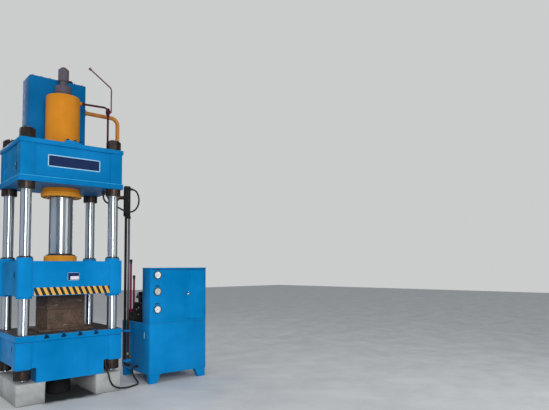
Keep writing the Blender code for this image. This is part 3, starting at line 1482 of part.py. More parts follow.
def make_pump(front):
    """The pump on its bracket, with a suction flange on top."""
    back = front + PUMP_LENGTH
    flange = PUMP_RADIUS + PUMP_FLANGE_PROUD
    face = front + PUMP_FLANGE_THICKNESS
    foot_front = front + 2 * PUMP_BRACKET_INSET
    outlet = front + PUMP_OUTLET_BACK
    low = DECK + SEAT
    half = flange * 0.9
    body = [((MOTOR_X, (front + face) / 2, MOTOR_Z), (MOTOR_X, back, MOTOR_Z))]
    pump = place("pump", rods(body, PUMP_RADIUS, ROUND), "grey paint")
    bracket = box(
        (MOTOR_X - half, front + PUMP_BRACKET_INSET, low + PUMP_FOOT_HEIGHT / 2),
        (MOTOR_X + half, face - PUMP_BRACKET_INSET, MOTOR_Z),
    )
    foot = box(
        (MOTOR_X - flange, foot_front, low),
        (MOTOR_X + flange, foot_front + PUMP_FOOT_LENGTH, low + PUMP_FOOT_HEIGHT),
        MOTOR_EDGE / 2,
    )
    upright = [((MOTOR_X, outlet, MOTOR_Z), (MOTOR_X, outlet, MOTOR_Z + PUMP_RADIUS + PUMP_OUTLET_RADIUS))]
    join(
        pump,
        place("pump_flange", rods([((MOTOR_X, front, MOTOR_Z), (MOTOR_X, face, MOTOR_Z))], flange, ROUND)),
        place("pump_bracket", bracket),
        place("pump_foot", foot),
        place("pump_outlet", rods(upright, PUMP_OUTLET_RADIUS, SMALL_ROUND)),
    )
    cut(pump, shaft_bore("pump_shaft_bore", front - SHAFT_IN, front + SHAFT_IN + SEAT))


def make_valve_block():
    """The valve block on the tank: a drilled manifold with upright solenoid valves, and a shelf behind.

    It gives the shelf's back left corner, where the service pipes stand."""
    left = TANK_LEFT + VALVE_BLOCK_LEFT
    right = left + VALVE_BLOCK_WIDTH
    back = VALVE_BLOCK_FRONT + VALVE_BLOCK_DEPTH
    shelf_back = back + VALVE_SHELF_DEPTH
    top = DECK + VALVE_BLOCK_HEIGHT
    manifold = box((left, VALVE_BLOCK_FRONT, DECK), (right, back, top), VALVE_BLOCK_EDGE)
    block = place("valve_block", manifold, "black paint")
    inset = VALVE_SHELF_INSET
    shelf = box(
        (left + inset, back - VALVE_SHELF_LAP, DECK + SEAT),
        (right - inset, shelf_back, DECK + VALVE_SHELF_HEIGHT),
        inset,
    )
    x = (left + right) / 2
    spots = [(x, VALVE_BLOCK_FRONT + VALVE_BLOCK_DEPTH * (i + 1) / 4) for i in range(3)]
    tip = top + SOLENOID_HEIGHT
    radius = SOLENOID_RADIUS * 0.8
    join(
        block,
        place("valve_shelf", shelf),
        uprights("valve_solenoids", spots, radius, top - VALVE_SHELF_LAP, tip, SMALL_ROUND),
        uprights("valve_coils", spots, SOLENOID_RADIUS, top + COIL_INSET, tip - COIL_INSET, SMALL_ROUND),
    )
    return left + inset, shelf_back


def make_service_pipes(shelf_left, shelf_back):
    """Two capped service pipes on one foot, standing at the back of the valve block's shelf."""
    low = DECK + VALVE_SHELF_HEIGHT + SEAT
    left = shelf_left + SERVICE_FOOT_INSET
    front = shelf_back - SERVICE_FOOT_INSET - SERVICE_FOOT_DEPTH
    foot_top = low + SERVICE_FOOT_HEIGHT
    foot = box(
        (left, front, low),
        (left + SERVICE_FOOT_WIDTH, front + SERVICE_FOOT_DEPTH, foot_top),
        VALVE_SHELF_INSET,
    )
    pipes = place("service_pipes", foot, "red oxide")
    kinds = {"tall": (SERVICE_TALL_SPOT, SERVICE_TALL), "short": (SERVICE_SHORT_SPOT, SERVICE_SHORT)}
    for name, ((across, deep), height) in kinds.items():
        spot = [(left + across, front + deep)]
        top = low + height
        pipe_foot = (low + foot_top) / 2
        cap = top - SERVICE_CAP_HEIGHT
        join(
            pipes,
            uprights(f"service_pipe_{name}", spot, SERVICE_RADIUS, pipe_foot, top - SEAT, SMALL_ROUND),
            uprights(f"service_cap_{name}", spot, SERVICE_CAP_RADIUS, cap, top, SMALL_ROUND),
        )


def make_return_pipe(tank_right):
    """The orange return pipe from the filling tank, out past the crown and down to the riser's head."""
    height = CROWN_TOP + RETURN_RISE
    foot = CROWN_FLOOR + RETURN_FALL
    start = (tank_right + SEAT, RETURN_Y, height)
    corners = [
        start,
        (RETURN_X, RETURN_Y, height),
        (RETURN_X, RETURN_Y, foot),
        (HEAD_X, RETURN_Y, foot),
        (HEAD_X, RISER_Y + HEAD_DEPTH / 2 + SEAT, foot),
    ]
    route = bent_route(corners, (RETURN_BEND, RETURN_ELBOW, RETURN_ELBOW))
    pipe = tube("return_pipe", route, RETURN_RADIUS, 4, "orange paint")
    flange = rods([(start, (start[0] + FLANGE_HEIGHT, RETURN_Y, height))], RETURN_RADIUS * 1.6, ROUND)
    join(pipe, place("return_pipe_flange", flange))


def make_pressure_pipe():
    """The pressure pipe from the cylinder's head port down to the crown, with a tee at its corner."""
    out = Vector((cos(PRESSURE_ANGLE), sin(PRESSURE_ANGLE), 0))
    height = Vector((0, 0, PRESSURE_Z))
    start = height + out * (CYLINDER_RADIUS + PORT_LENGTH + SEAT)
    corner = Vector((PRESSURE_X, PRESSURE_Y, PRESSURE_Z))
    foot = Vector((PRESSURE_X, PRESSURE_Y, CROWN_TOP + SEAT))
    route = bent_route([start, corner, foot], [PRESSURE_BEND])
    pipe = tube("pressure_pipe", route, PRESSURE_RADIUS, 3, "red oxide")
    half = TEE_SIDE / 2
    tee = box(
        (PRESSURE_X - half, PRESSURE_Y - half, PRESSURE_Z - PRESSURE_BEND - half),
        (PRESSURE_X + half, PRESSURE_Y + half, PRESSURE_Z - PRESSURE_BEND + half),
        TEE_SIDE / 10,
    )
    side = FLANGE_SIDE / 2
    flange = box(
        (PRESSURE_X - side, PRESSURE_Y - side, CROWN_TOP + SEAT),
        (PRESSURE_X + side, PRESSURE_Y + side, CROWN_TOP + SEAT + FLANGE_HEIGHT),
        FLANGE_HEIGHT / 6,
    )
    join(pipe, place("pressure_pipe_tee", tee), place("pressure_pipe_flange", flange))


def make_vent_pipe():
    """The thin vent pipe that rises from the tee and leans back over the cylinder to its capped end."""
    x = PRESSURE_X + TEE_SIDE / 2 + SEAT
    z = PRESSURE_Z - PRESSURE_BEND
    rise_x = PRESSURE_X + TEE_SIDE / 2 + 2 * VENT_RADIUS
    top = PRESSURE_Z + VENT_RISE
    corners = [
        (x, PRESSURE_Y, z),
        (rise_x, PRESSURE_Y, z),
        (rise_x, PRESSURE_Y, top),
        (PRESSURE_X + VENT_END_X + VENT_LEAN_X, PRESSURE_Y, top + VENT_END_Z),
    ]
    route = bent_route(corners, (VENT_RADIUS * 1.8, VENT_BEND))
    pipe = tube("vent_pipe", route, VENT_RADIUS, 2, "brown pipe")
    out = (Vector(corners[-1]) - Vector(corners[-2])).normalized()
    tip = Vector(corners[-1]) + out * VENT_CAP_PROUD
    cap = rods([(tip - out * VENT_CAP_LENGTH, tip)], VENT_RADIUS * 1.6, SMALL_ROUND)
    join(pipe, place("vent_pipe_cap", cap))


def upright_and_elbow(corners, bend, radius):
    """The mesh of an upright pipe with an elbow at its foot."""
    thing = tube("upright_pipe", bent_route(corners, [bend]), radius, 4)
    mesh = thing.data
    bpy.data.objects.remove(thing, do_unlink=True)
    return mesh


def head_ports():
    """Where the hoses leave the head block, and which way: the long one right, the short one left."""
    half = HEAD_WIDTH / 2
    return {
        "long": (Vector((HEAD_X + half, RISER_Y, HEAD_TOP - HEAD_PORT_DROP)), Vector((1, 0, 0))),
        "short": (Vector((HEAD_X - half, RISER_Y, HEAD_TOP - SHORT_HOSE_DROP)), Vector((-1, 0, 0))),
    }


def make_risers():
    """Two risers beside the tank: a black one with the head block, and a grey one into its underside."""
    corners = [
        (RISER_X, RISER_Y, HEAD_LOW + SEAT),
        (RISER_X, RISER_Y, RISER_PORT_Z),
        (TANK_LEFT - SEAT, RISER_Y, RISER_PORT_Z),
    ]
    riser = place("riser_pipe_black", upright_and_elbow(corners, RISER_BEND, RISER_RADIUS), "black paint")
    head = box(
        (HEAD_X - HEAD_WIDTH / 2, RISER_Y - HEAD_DEPTH / 2, HEAD_LOW),
        (HEAD_X + HEAD_WIDTH / 2, RISER_Y + HEAD_DEPTH / 2, HEAD_TOP),
        HEAD_EDGE,
        along=2,
    )
    reach = NIPPLE_LENGTH
    nipples = [(port - out * reach, port + out * reach) for port, out in head_ports().values()]
    ends = [(TANK_LEFT - RISER_UNION, RISER_Y, RISER_PORT_Z), (TANK_LEFT - SEAT, RISER_Y, RISER_PORT_Z)]
    union = rods([ends], RISER_RADIUS * 1.35, 6)
    join(
        riser,
        place("riser_head", head),
        place("riser_nipples", rods(nipples, NIPPLE_RADIUS, SMALL_ROUND)),
        place("riser_union", union),
    )
    corners = [
        (GREY_X, GREY_Y, HEAD_LOW - SEAT),
        (GREY_X, GREY_Y, GREY_PORT_Z),
        (TANK_LEFT - SEAT, GREY_Y, GREY_PORT_Z),
    ]
    place("riser_pipe_grey", upright_and_elbow(corners, GREY_BEND, GREY_RADIUS), "grey paint")


def make_hoses():
    """Three rubber hoses, each along chosen points from one nipple's end to another's."""
    down, left = Vector((0, 0, -1)), Vector((-1, 0, 0))
    wing = PILLAR_FLOOR + BED_PROUD_Z
    head = head_ports()
    floor_port = (Vector((*FLOOR_HOSE_PORT, wing)), down)
    tank_port = (Vector((TANK_LEFT, TANK_HOSE_PORT_Y, TANK_HOSE_PORT_Z)), left)
    crown_ports = {
        "long": (Vector((*LONG_HOSE_PORT, CROWN_FLOOR)), down),
        "short": (Vector((*SHORT_HOSE_PORT, CROWN_FLOOR)), down),
    }
    hoses = {
        "hose_long": (head["long"], LONG_HOSE_ROUTE, crown_ports["long"], HOSE_RADIUS),
        "hose_short": (head["short"], SHORT_HOSE_ROUTE, crown_ports["short"], HOSE_RADIUS),
        "floor_hose": (floor_port, FLOOR_HOSE_ROUTE, tank_port, FLOOR_HOSE_RADIUS),
    }
    for name, ((start, out), between, (end, back), radius) in hoses.items():
        nipple = NIPPLE_LENGTH + SEAT
        points = [start + out * nipple, start + out * (nipple + HOSE_STUB), *between]
        points += [end + back * (nipple + HOSE_STUB), end + back * nipple]
        route = smooth_route(points, 5 * radius)
        length = sum((b - a).length for a, b in zip(route, route[1:]))
        print(f"{name}: {length:.3f} m, {len(route)} points")
        tube(name, route, radius, 2, "rubber")


def main():
    make_columns()
    make_crown_nuts()
    make_round_nuts()
    make_piers()
    make_bed()
    make_table()
    make_die()
    slide = make_slide()
    ride_on(slide, *make_ram(), *make_bushes())
    make_crown()
    make_cylinder()
    make_gland()
    make_lock_plate()
    make_prefill_valve()
    tank_right = make_filling_tank()
    make_ejector()
    make_oil_tank()
    make_cabinet()
    make_door()
    make_gauges()
    make_motor()
    pump_front = make_coupling()
    make_pump(pump_front)
    make_service_pipes(*make_valve_block())
    make_return_pipe(tank_right)
    make_pressure_pipe()
    make_vent_pipe()
    make_risers()
    make_hoses()
    print(f"{len(PARTS.objects)} parts, {COLUMN_HEAD:.3f} m to the tops of the columns")


main()
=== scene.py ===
# %% [markdown]
# This scene dresses a four-column hydraulic press: a bed on two piers, a slide that four chromed columns
# guide, a crown with the main cylinder on it, and a pump unit at its right-hand side. The solids come from
# the CAD frame. A lesson like this one could model everything again by hand, but then each part would have
# to be fitted to its neighbours. Loading the frame first gives every piece a fixed place to sit.

import json
from math import cos, pi, radians, sin

import bmesh
import bpy
from mathutils import Matrix, Vector


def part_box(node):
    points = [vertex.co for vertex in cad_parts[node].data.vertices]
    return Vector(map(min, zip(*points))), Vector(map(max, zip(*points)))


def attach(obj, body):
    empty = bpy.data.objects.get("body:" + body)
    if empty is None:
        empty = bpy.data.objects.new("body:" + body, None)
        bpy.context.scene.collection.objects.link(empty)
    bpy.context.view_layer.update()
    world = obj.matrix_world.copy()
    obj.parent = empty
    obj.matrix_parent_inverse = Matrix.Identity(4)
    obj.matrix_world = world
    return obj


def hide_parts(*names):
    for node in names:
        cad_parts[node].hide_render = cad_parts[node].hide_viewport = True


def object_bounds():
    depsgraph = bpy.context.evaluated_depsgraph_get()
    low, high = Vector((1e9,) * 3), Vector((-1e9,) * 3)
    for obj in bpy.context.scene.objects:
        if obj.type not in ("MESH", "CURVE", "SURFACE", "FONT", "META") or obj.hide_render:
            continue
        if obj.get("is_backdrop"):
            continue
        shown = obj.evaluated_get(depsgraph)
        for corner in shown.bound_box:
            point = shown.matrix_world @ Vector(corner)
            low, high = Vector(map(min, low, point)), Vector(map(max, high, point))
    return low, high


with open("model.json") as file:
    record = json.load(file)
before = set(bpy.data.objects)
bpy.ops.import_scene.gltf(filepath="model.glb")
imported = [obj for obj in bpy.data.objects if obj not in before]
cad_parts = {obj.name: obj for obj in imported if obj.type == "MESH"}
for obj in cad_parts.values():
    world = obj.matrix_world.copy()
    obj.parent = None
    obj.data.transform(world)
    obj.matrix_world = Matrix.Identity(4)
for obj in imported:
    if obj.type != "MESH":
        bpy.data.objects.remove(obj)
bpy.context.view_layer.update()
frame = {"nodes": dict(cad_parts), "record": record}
scene = bpy.context.scene

# %% [markdown]
# The photograph was taken from the press's front left, at about eye height, with a lens a little wider than
# normal. The camera's place could be found by hand, but a fit of known corners to their pixels gives it
# directly. The picture was cropped, so its middle isn't the lens's middle: a small vertical shift says so.

# %% Camera
EYE = Vector((-2.1874, -6.9318, 1.5797))
YAW, PITCH, ROLL = radians(40.5419), radians(3.4167), radians(-0.4179)

ahead = Vector((sin(YAW) * cos(PITCH), cos(YAW) * cos(PITCH), sin(PITCH)))
level = Vector((cos(YAW), -sin(YAW), 0))
above = level.cross(ahead)
right = level * cos(ROLL) + above * sin(ROLL)
up = above * cos(ROLL) - level * sin(ROLL)
camera_data = bpy.data.cameras.new("camera")
camera_data.sensor_width = 36.0
camera_data.lens = 33.05
camera_data.shift_y = 0.0608
camera = bpy.data.objects.new("camera", camera_data)
turn = Matrix((right, up, -ahead)).transposed().to_4x4()
camera.matrix_world = Matrix.Translation(EYE) @ turn
scene.collection.objects.link(camera)
scene.camera = camera
scene.view_settings.view_transform = "Standard"
print("camera at", [round(c, 2) for c in EYE])

# %% [markdown]
# Every finish on a workshop machine has more than one tone: paint has runs and dust, chrome has fine lines,
# concrete has pores. Image textures would need files, so each material is made of noise nodes that read
# the object's own coordinates in metres. Two small classes keep the making of such a node tree readable:
# one adds nodes to any tree, and the other knows how a material is put together.

# %% A material in the making
class Wiring:
    """A node tree, with a short way to add to it."""

    def __init__(self, owner):
        owner.use_nodes = True
        self.nodes, self.links = owner.node_tree.nodes, owner.node_tree.links

    def add(self, kind, feeds, **settings):
        """Add a node, and feed its inputs with plain values or other nodes' outputs."""
        made = self.nodes.new("ShaderNode" + kind)
        for key, value in settings.items():
            setattr(made, key, value)
        for key, value in feeds.items():
            if isinstance(value, bpy.types.NodeSocket):
                self.links.new(value, made.inputs[key])
            else:
                made.inputs[key].default_value = value
        return made


class Finish(Wiring):
    """A node material that is being made, with the point on the object that its textures read."""

    def __init__(self, name, **sockets):
        self.material = bpy.data.materials.new(name)
        super().__init__(self.material)
        self.shader = self.nodes["Principled BSDF"]
        for socket, value in sockets.items():
            self.shader.inputs[socket.replace("_", " ")].default_value = value
        self.spot = self.add("TexCoord", {}).outputs["Object"]

    def noise(self, scale, detail=3.0, roughness=0.5, stretch=None):
        """Cloudy noise, with so many lumps to a metre, squeezed along an axis where stretch is large."""
        spot = self.spot
        if stretch:
            spot = self.add("Mapping", {"Vector": spot, "Scale": stretch}).outputs[0]
        feeds = {"Vector": spot, "Scale": scale, "Detail": detail, "Roughness": roughness}
        return self.add("TexNoise", feeds).outputs[0]

    def ranged(self, value, low, high, to_low=0.0, to_high=1.0):
        """Spread the values between low and high over a new range, and hold the rest at its ends."""
        feeds = {"Value": value, "From Min": low, "From Max": high, "To Min": to_low, "To Max": to_high}
        return self.add("MapRange", feeds).outputs[0]

    def maths(self, operation, *values):
        """The result of some arithmetic on plain values or other nodes' outputs."""
        return self.add("Math", dict(enumerate(values)), operation=operation).outputs[0]

    def mixed(self, share, first, second):
        """A colour between two others, each a colour or a node's output."""
        first, second = ((*c, 1.0) if isinstance(c, (tuple, list)) else c for c in (first, second))
        return self.add("Mix", {0: share, 6: first, 7: second}, data_type="RGBA").outputs[2]

    def along(self, axis):
        """How far along an axis the point lies."""
        return self.add("SeparateXYZ", {0: self.spot}).outputs[axis]

    def upward(self):
        """1 on faces that look up, 0 on walls and undersides."""
        normal = self.add("NewGeometry", {}).outputs["Normal"]
        return self.ranged(self.add("SeparateXYZ", {0: normal}).outputs[2], 0.55, 0.95)

    def bumped(self, height, strength, distance):
        """Raise the surface where the height is large."""
        feeds = {"Height": height, "Strength": strength, "Distance": distance}
        self.links.new(self.add("Bump", feeds).outputs[0], self.shader.inputs["Normal"])

    def done(self, colour=None, roughness=None):
        """Join the colour and roughness to the shader, and hand over the material."""
        for value, socket in ((colour, "Base Color"), (roughness, "Roughness")):
            if value is not None:
                self.links.new(value, self.shader.inputs[socket])
        return self.material


print("finish maker ready")

# %% [markdown]
# The press is painted in thick machine enamel, put on with a brush and a gun over cast and welded steel.
# Close up it has soft waves, a little orange peel, small chips down to the primer, and dust on whatever
# looks up. One maker serves each colour. Its gloss is tinted, for white gloss would wash the colour out.

# %% Machine enamel
def enamel(name, colour, gloss=0.36, dust=0.22, wear=0.25, dirt=None, top=None, rust_below=None):
    """Thick paint over steel. Its top may be worn bare, and it may have rusted below a height."""
    tint = [0.06 + 0.94 * c / max(colour) for c in colour]
    paint = Finish(name, Specular_IOR_Level=0.07, Specular_Tint=(*tint, 1.0))
    dirt = dirt or [c * 0.45 for c in colour]
    deep = [c * 0.82 for c in colour]
    pale = [min(1.0, c * 1.10 + 0.004) for c in colour]
    tone = paint.mixed(paint.ranged(paint.noise(1.6, 4.0), 0.34, 0.66), deep, pale)
    runs = paint.noise(11.0, 5.0, 0.6, stretch=(1.0, 1.0, 0.10))
    tone = paint.mixed(paint.ranged(runs, 0.56, 0.82, 0.0, wear), tone, dirt)
    drifts = paint.ranged(paint.noise(5.0, 4.0), 0.30, 0.70, 0.3, 1.0)
    dusty = paint.maths("MULTIPLY", paint.maths("MULTIPLY", paint.upward(), drifts), dust)
    tone = paint.mixed(dusty, tone, (0.36, 0.35, 0.33))
    if rust_below:
        ragged = paint.ranged(paint.noise(8.0, 5.0), 0.3, 0.7, -0.12, 0.12)
        ragged = paint.maths("ADD", paint.along(2), ragged)
        low = paint.ranged(ragged, rust_below - 0.10, rust_below + 0.10, 1.0, 0.0)
        tone = paint.mixed(low, tone, (0.045, 0.017, 0.010))
    if top:
        oily = paint.ranged(paint.noise(9.0, 6.0, 0.65), 0.35, 0.65)
        bare = paint.mixed(oily, top, [c * 0.45 for c in top])
        tone = paint.mixed(paint.upward(), tone, bare)
    specks = paint.ranged(paint.noise(46.0, 6.0, 0.65), 0.735, 0.75)
    patches = paint.ranged(paint.noise(3.1, 3.0), 0.52, 0.66)
    chips = paint.maths("MULTIPLY", specks, patches)
    tone = paint.mixed(paint.maths("MULTIPLY", chips, 0.8), tone, (0.10, 0.085, 0.075))
    rough = paint.ranged(paint.noise(17.0, 4.0), 0.30, 0.70, gloss - 0.07, gloss + 0.09)
    rough = paint.maths("ADD", rough, paint.maths("MULTIPLY", dusty, 0.9))
    peel = paint.maths("ADD", paint.noise(170.0, 2.0), paint.maths("MULTIPLY", paint.noise(22.0, 2.0), 1.6))
    paint.bumped(paint.maths("SUBTRACT", peel, chips), 0.14, 0.0012)
    return paint.done(tone, rough)


BLUE = (0.0008, 0.160, 0.400)
blue = enamel("blue_enamel", BLUE)
# The crown has the same blue as the slide and bed, made a fifth darker: painted shade.
crown_shaded_blue = enamel("crown_shaded_enamel", [c * 0.80 for c in BLUE])
table_blue = enamel("worn_table_enamel", BLUE, top=(0.092, 0.080, 0.072))
# A paler blue whose colour is a painted highlight, for the edge of the crown's lower flange.
highlight_blue = enamel("painted_highlight_enamel", (0.030, 0.300, 0.560), gloss=0.42)
tank_blue = enamel("tank_blue_enamel", (0.0008, 0.091, 0.238), gloss=0.44, wear=0.32)
orange = enamel("orange_enamel", (0.430, 0.160, 0.012), dirt=(0.20, 0.07, 0.010))
worn_orange = enamel("worn_orange_enamel", (0.430, 0.170, 0.040), wear=0.75, dirt=(0.11, 0.05, 0.03))
flange_orange = enamel(
    "flange_orange_enamel", (0.500, 0.210, 0.022), gloss=0.42, wear=0.45, dirt=(0.12, 0.05, 0.02)
)
valve_grey = enamel("valve_grey_enamel", (0.080, 0.068, 0.085), gloss=0.50, wear=0.55)
machine_black = enamel("machine_black_enamel", (0.010, 0.010, 0.011), gloss=0.44, dirt=(0.05, 0.04, 0.03))
red_oxide = enamel("red_oxide_primer", (0.045, 0.008, 0.020), gloss=0.55, wear=0.45)
crimson = enamel("crimson_primer", (0.160, 0.009, 0.036), gloss=0.55, wear=0.45)
pipe_grey = enamel("pipe_grey_enamel", (0.090, 0.088, 0.098), gloss=0.48, wear=0.45, rust_below=0.90)
print("enamels: 13")

# %% [markdown]
# The columns and the ram are hard chromed and ground. Grinding leaves very fine rings, which smear every
# reflection up and down into bright and dark lines, and oil leaves smears that run down. The rings are too
# fine to model, so the shader's anisotropy stretches the reflections, with its tangent round the upright
# axis. Plain mirror metal would look like a computer picture, because nothing in a workshop is that clean.

# %% Metals
def ground_metal(name, colour, low, high, rings=0.05, tarnish=0.12, stretch=0.0):
    """Bare ground metal with smears, its reflections stretched up and down where stretch is 1."""
    metal = Finish(name, Metallic=1.0, Anisotropic=stretch, Anisotropic_Rotation=0.25 if stretch else 0.0)
    if stretch:
        tangent = metal.add("Tangent", {}, direction_type="RADIAL", axis="Z").outputs[0]
        metal.links.new(tangent, metal.shader.inputs["Tangent"])
    smear = metal.noise(14.0, 5.0, 0.6, stretch=(1.0, 1.0, 0.06))
    dull = [c * (1.0 - tarnish) for c in colour]
    tone = metal.mixed(metal.ranged(smear, 0.40, 0.75), colour, dull)
    rough = metal.ranged(smear, 0.30, 0.75, low, high)
    metal.bumped(metal.noise(900.0, 2.0, stretch=(0.01, 0.01, 1.0)), rings, 0.0002)
    return metal.done(tone, rough)


def dark_steel(name, colour, film, low=0.30, high=0.62, metallic=0.7):
    """Oiled black steel with a brown film in patches, as on big nuts."""
    steel = Finish(name, Metallic=metallic)
    patch = steel.noise(19.0, 5.0, 0.6)
    tone = steel.mixed(steel.ranged(patch, 0.38, 0.68), colour, film)
    tone = steel.mixed(steel.maths("MULTIPLY", steel.upward(), 0.35), tone, (0.16, 0.14, 0.12))
    rough = steel.ranged(steel.noise(60.0, 3.0), 0.3, 0.7, low, high)
    steel.bumped(steel.noise(150.0, 4.0, 0.6), 0.25, 0.0006)
    return steel.done(tone, rough)


chrome = ground_metal("hard_chrome", (0.60, 0.64, 0.68), 0.28, 0.34, stretch=1.0)
oiled_bronze = dark_steel("oiled_bush_bronze", (0.090, 0.052, 0.024), (0.035, 0.026, 0.020), 0.30, 0.50)
zinc = ground_metal("zinc_plate", (0.52, 0.53, 0.54), 0.26, 0.44, rings=0.10, tarnish=0.30)
bright = ground_metal("bright_steel", (0.62, 0.63, 0.64), 0.16, 0.30, rings=0.08, tarnish=0.20)
brass = ground_metal("fitting_brass", (0.60, 0.36, 0.11), 0.22, 0.40, rings=0.05, tarnish=0.40)
nut_black = dark_steel("oiled_nut_steel", (0.018, 0.015, 0.014), (0.050, 0.030, 0.022))
bolt_black = dark_steel("socket_screw_steel", (0.016, 0.016, 0.017), (0.034, 0.028, 0.024), 0.28, 0.48)
brown_pipe = dark_steel("rusted_pipe", (0.085, 0.036, 0.024), (0.130, 0.060, 0.036), 0.5, 0.8, metallic=0.2)
print("metals: 8")

# %% [markdown]
# The rest of the press isn't paint or bright metal: the die block is bare steel that has rusted, the piers
# are concrete, the hoses are rubber. Each of them is rough, and its tones change over centimetres, so two
# sizes of noise are laid over each other. A single size would look like a camouflage print.

# %% Rust, concrete and rubber
def rusted(name):
    """Rusted tool steel, darker and oilier in the upper half, with bright scratches."""
    steel = Finish(name, Metallic=0.25)
    broad = steel.ranged(steel.noise(7.0, 6.0, 0.62), 0.34, 0.66)
    fine = steel.ranged(steel.noise(70.0, 6.0, 0.7), 0.40, 0.64)
    tone = steel.mixed(broad, (0.018, 0.011, 0.009), (0.078, 0.043, 0.028))
    tone = steel.mixed(steel.maths("MULTIPLY", fine, 0.55), tone, (0.130, 0.078, 0.044))
    die_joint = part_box("die_block")[0].z + 0.29
    oily = steel.ranged(steel.along(2), die_joint, die_joint + 0.05, 0.0, 0.72)
    tone = steel.mixed(oily, tone, (0.022, 0.013, 0.012))
    scratch = steel.ranged(steel.noise(55.0, 3.0, 0.7, stretch=(0.12, 0.12, 1.0)), 0.64, 0.72, 0.0, 0.55)
    tone = steel.mixed(scratch, tone, (0.33, 0.30, 0.27))
    worn = steel.ranged(steel.noise(24.0, 5.0, 0.7), 0.66, 0.70, 0.0, 0.6)
    tone = steel.mixed(worn, tone, (0.30, 0.27, 0.22))
    rough = steel.ranged(steel.noise(30.0, 4.0), 0.3, 0.7, 0.55, 0.88)
    steel.bumped(steel.maths("ADD", broad, fine), 0.45, 0.0012)
    return steel.done(tone, rough)


def poured(name):
    """Cast concrete with pores and a paler skin, darker towards the floor."""
    stone = Finish(name)
    broad = stone.ranged(stone.noise(4.5, 6.0, 0.6), 0.32, 0.68)
    sand = stone.noise(240.0, 3.0, 0.7)
    tone = stone.mixed(broad, (0.215, 0.225, 0.228), (0.360, 0.372, 0.372))
    tone = stone.mixed(stone.ranged(sand, 0.35, 0.70, 0.0, 0.30), tone, (0.15, 0.15, 0.145))
    # Darker in its lowest ten centimetres.
    darker_near_floor = stone.ranged(stone.along(2), 0.0, 0.10, 0.42, 0.0)
    tone = stone.mixed(darker_near_floor, tone, (0.11, 0.105, 0.10))
    cells = stone.add("TexVoronoi", {"Vector": stone.spot, "Scale": 44.0}).outputs["Distance"]
    pores = stone.ranged(cells, 0.05, 0.13, 1.0, 0.0)
    tone = stone.mixed(stone.maths("MULTIPLY", pores, 0.5), tone, (0.07, 0.07, 0.068))
    height = stone.maths("SUBTRACT", stone.maths("MULTIPLY", sand, 0.5), pores)
    stone.bumped(height, 0.6, 0.0020)
    return stone.done(tone, stone.ranged(sand, 0.2, 0.8, 0.80, 0.95))


def moulded_rubber(name, colour=(0.012, 0.012, 0.013)):
    """Hose cover: black, with a faint cloth print and dust."""
    cover = Finish(name, Specular_IOR_Level=0.2)
    dust = cover.ranged(cover.noise(26.0, 5.0, 0.6), 0.45, 0.75, 0.0, 0.30)
    tone = cover.mixed(dust, colour, (0.045, 0.043, 0.041))
    cover.bumped(cover.noise(420.0, 2.0), 0.35, 0.0004)
    return cover.done(tone, cover.ranged(dust, 0.0, 0.3, 0.48, 0.72))


rust = rusted("rusted_die_steel")
concrete = poured("pier_concrete")
rubber = moulded_rubber("hose_rubber")
seal_rubber = moulded_rubber("seal_rubber", (0.018, 0.017, 0.017))
print("rust, concrete and two rubbers")

# %% [markdown]
# New pieces are started from bmesh's own shapes and operators, and each one ends the same way: doubled
# corners are merged, faces turned outwards, the edges between flat and round made sharp, and the piece
# bound to the body that carries it. One helper does this, so that no piece is left loose, and a second one
# builds a piece from a list of shapes, for the many that need no more than that.

# %% From a bmesh to a finished piece
def settle(name, shape, finish, body, sharp=35.0):
    """Make an object of a bmesh that is already in its place, and let it ride on a body."""
    bmesh.ops.remove_doubles(shape, verts=shape.verts, dist=0.000005)
    bmesh.ops.recalc_face_normals(shape, faces=shape.faces)
    mesh = bpy.data.meshes.new(name)
    shape.to_mesh(mesh)
    shape.free()
    mesh.shade_smooth()
    mesh.set_sharp_from_angle(angle=radians(sharp))
    mesh.materials.append(finish)
    piece = bpy.data.objects.new(name, mesh)
    scene.collection.objects.link(piece)
    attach(piece, body)
    return piece


def facing(out):
    """The turn that brings +Z to a direction."""
    return Vector(out).to_track_quat("Z", "Y").to_matrix().to_4x4()


def block(shape, low, high, edge=0.0, steps=2):
    """A box between two corners, its edges rounded."""
    low, high = Vector(low), Vector(high)
    stand = Matrix.Translation((low + high) / 2) @ Matrix.Diagonal((*(high - low), 1.0))
    made = bmesh.ops.create_cube(shape, size=1.0, matrix=stand)["verts"]
    if edge:
        edges = list({e for v in made for e in v.link_edges})
        bmesh.ops.bevel(
            shape, geom=edges, offset=edge, segments=steps, affect="EDGES", profile=0.5, material=-1
        )


def bar(shape, start, end, radius, sides=24, far=None):
    """A round or many-sided bar between two points, or a cone where the far radius differs."""
    start, end = Vector(start), Vector(end)
    stand = Matrix.Translation((start + end) / 2) @ facing(end - start)
    bmesh.ops.create_cone(
        shape,
        cap_ends=True,
        segments=sides,
        radius1=radius,
        radius2=radius if far is None else far,
        depth=(end - start).length,
        matrix=stand,
    )


def lathe(shape, profile, at, out, steps=64):
    """Spin (radius, height) points round an axis that leaves a point."""
    turn_to = Matrix.Translation(at) @ facing(out)
    rim = [shape.verts.new(turn_to @ Vector((radius, 0, height))) for radius, height in profile]
    edges = [shape.edges.new(pair) for pair in zip(rim, rim[1:])]
    bmesh.ops.spin(
        shape,
        geom=rim + edges,
        cent=at,
        axis=Vector(out).normalized(),
        angle=2 * pi,
        steps=steps,
        use_merge=True,
    )


def build(name, finish, slot, *steps, body="frame", sharp=35.0):
    """One piece of several shapes: each step is a shape helper, followed by what it needs."""
    shape = bmesh.new()
    for helper, *needs in steps:
        helper(shape, *needs)
    return settle(name, shape, finish, body, sharp)


SINK = 0.0004
UP, DOWN, FRONT, BACK, RIGHT, LEFT = (0, 0, 1), (0, 0, -1), (0, -1, 0), (0, 1, 0), (1, 0, 0), (-1, 0, 0)
print("shape helpers ready, pieces sink", SINK, "m into the face they stand on")

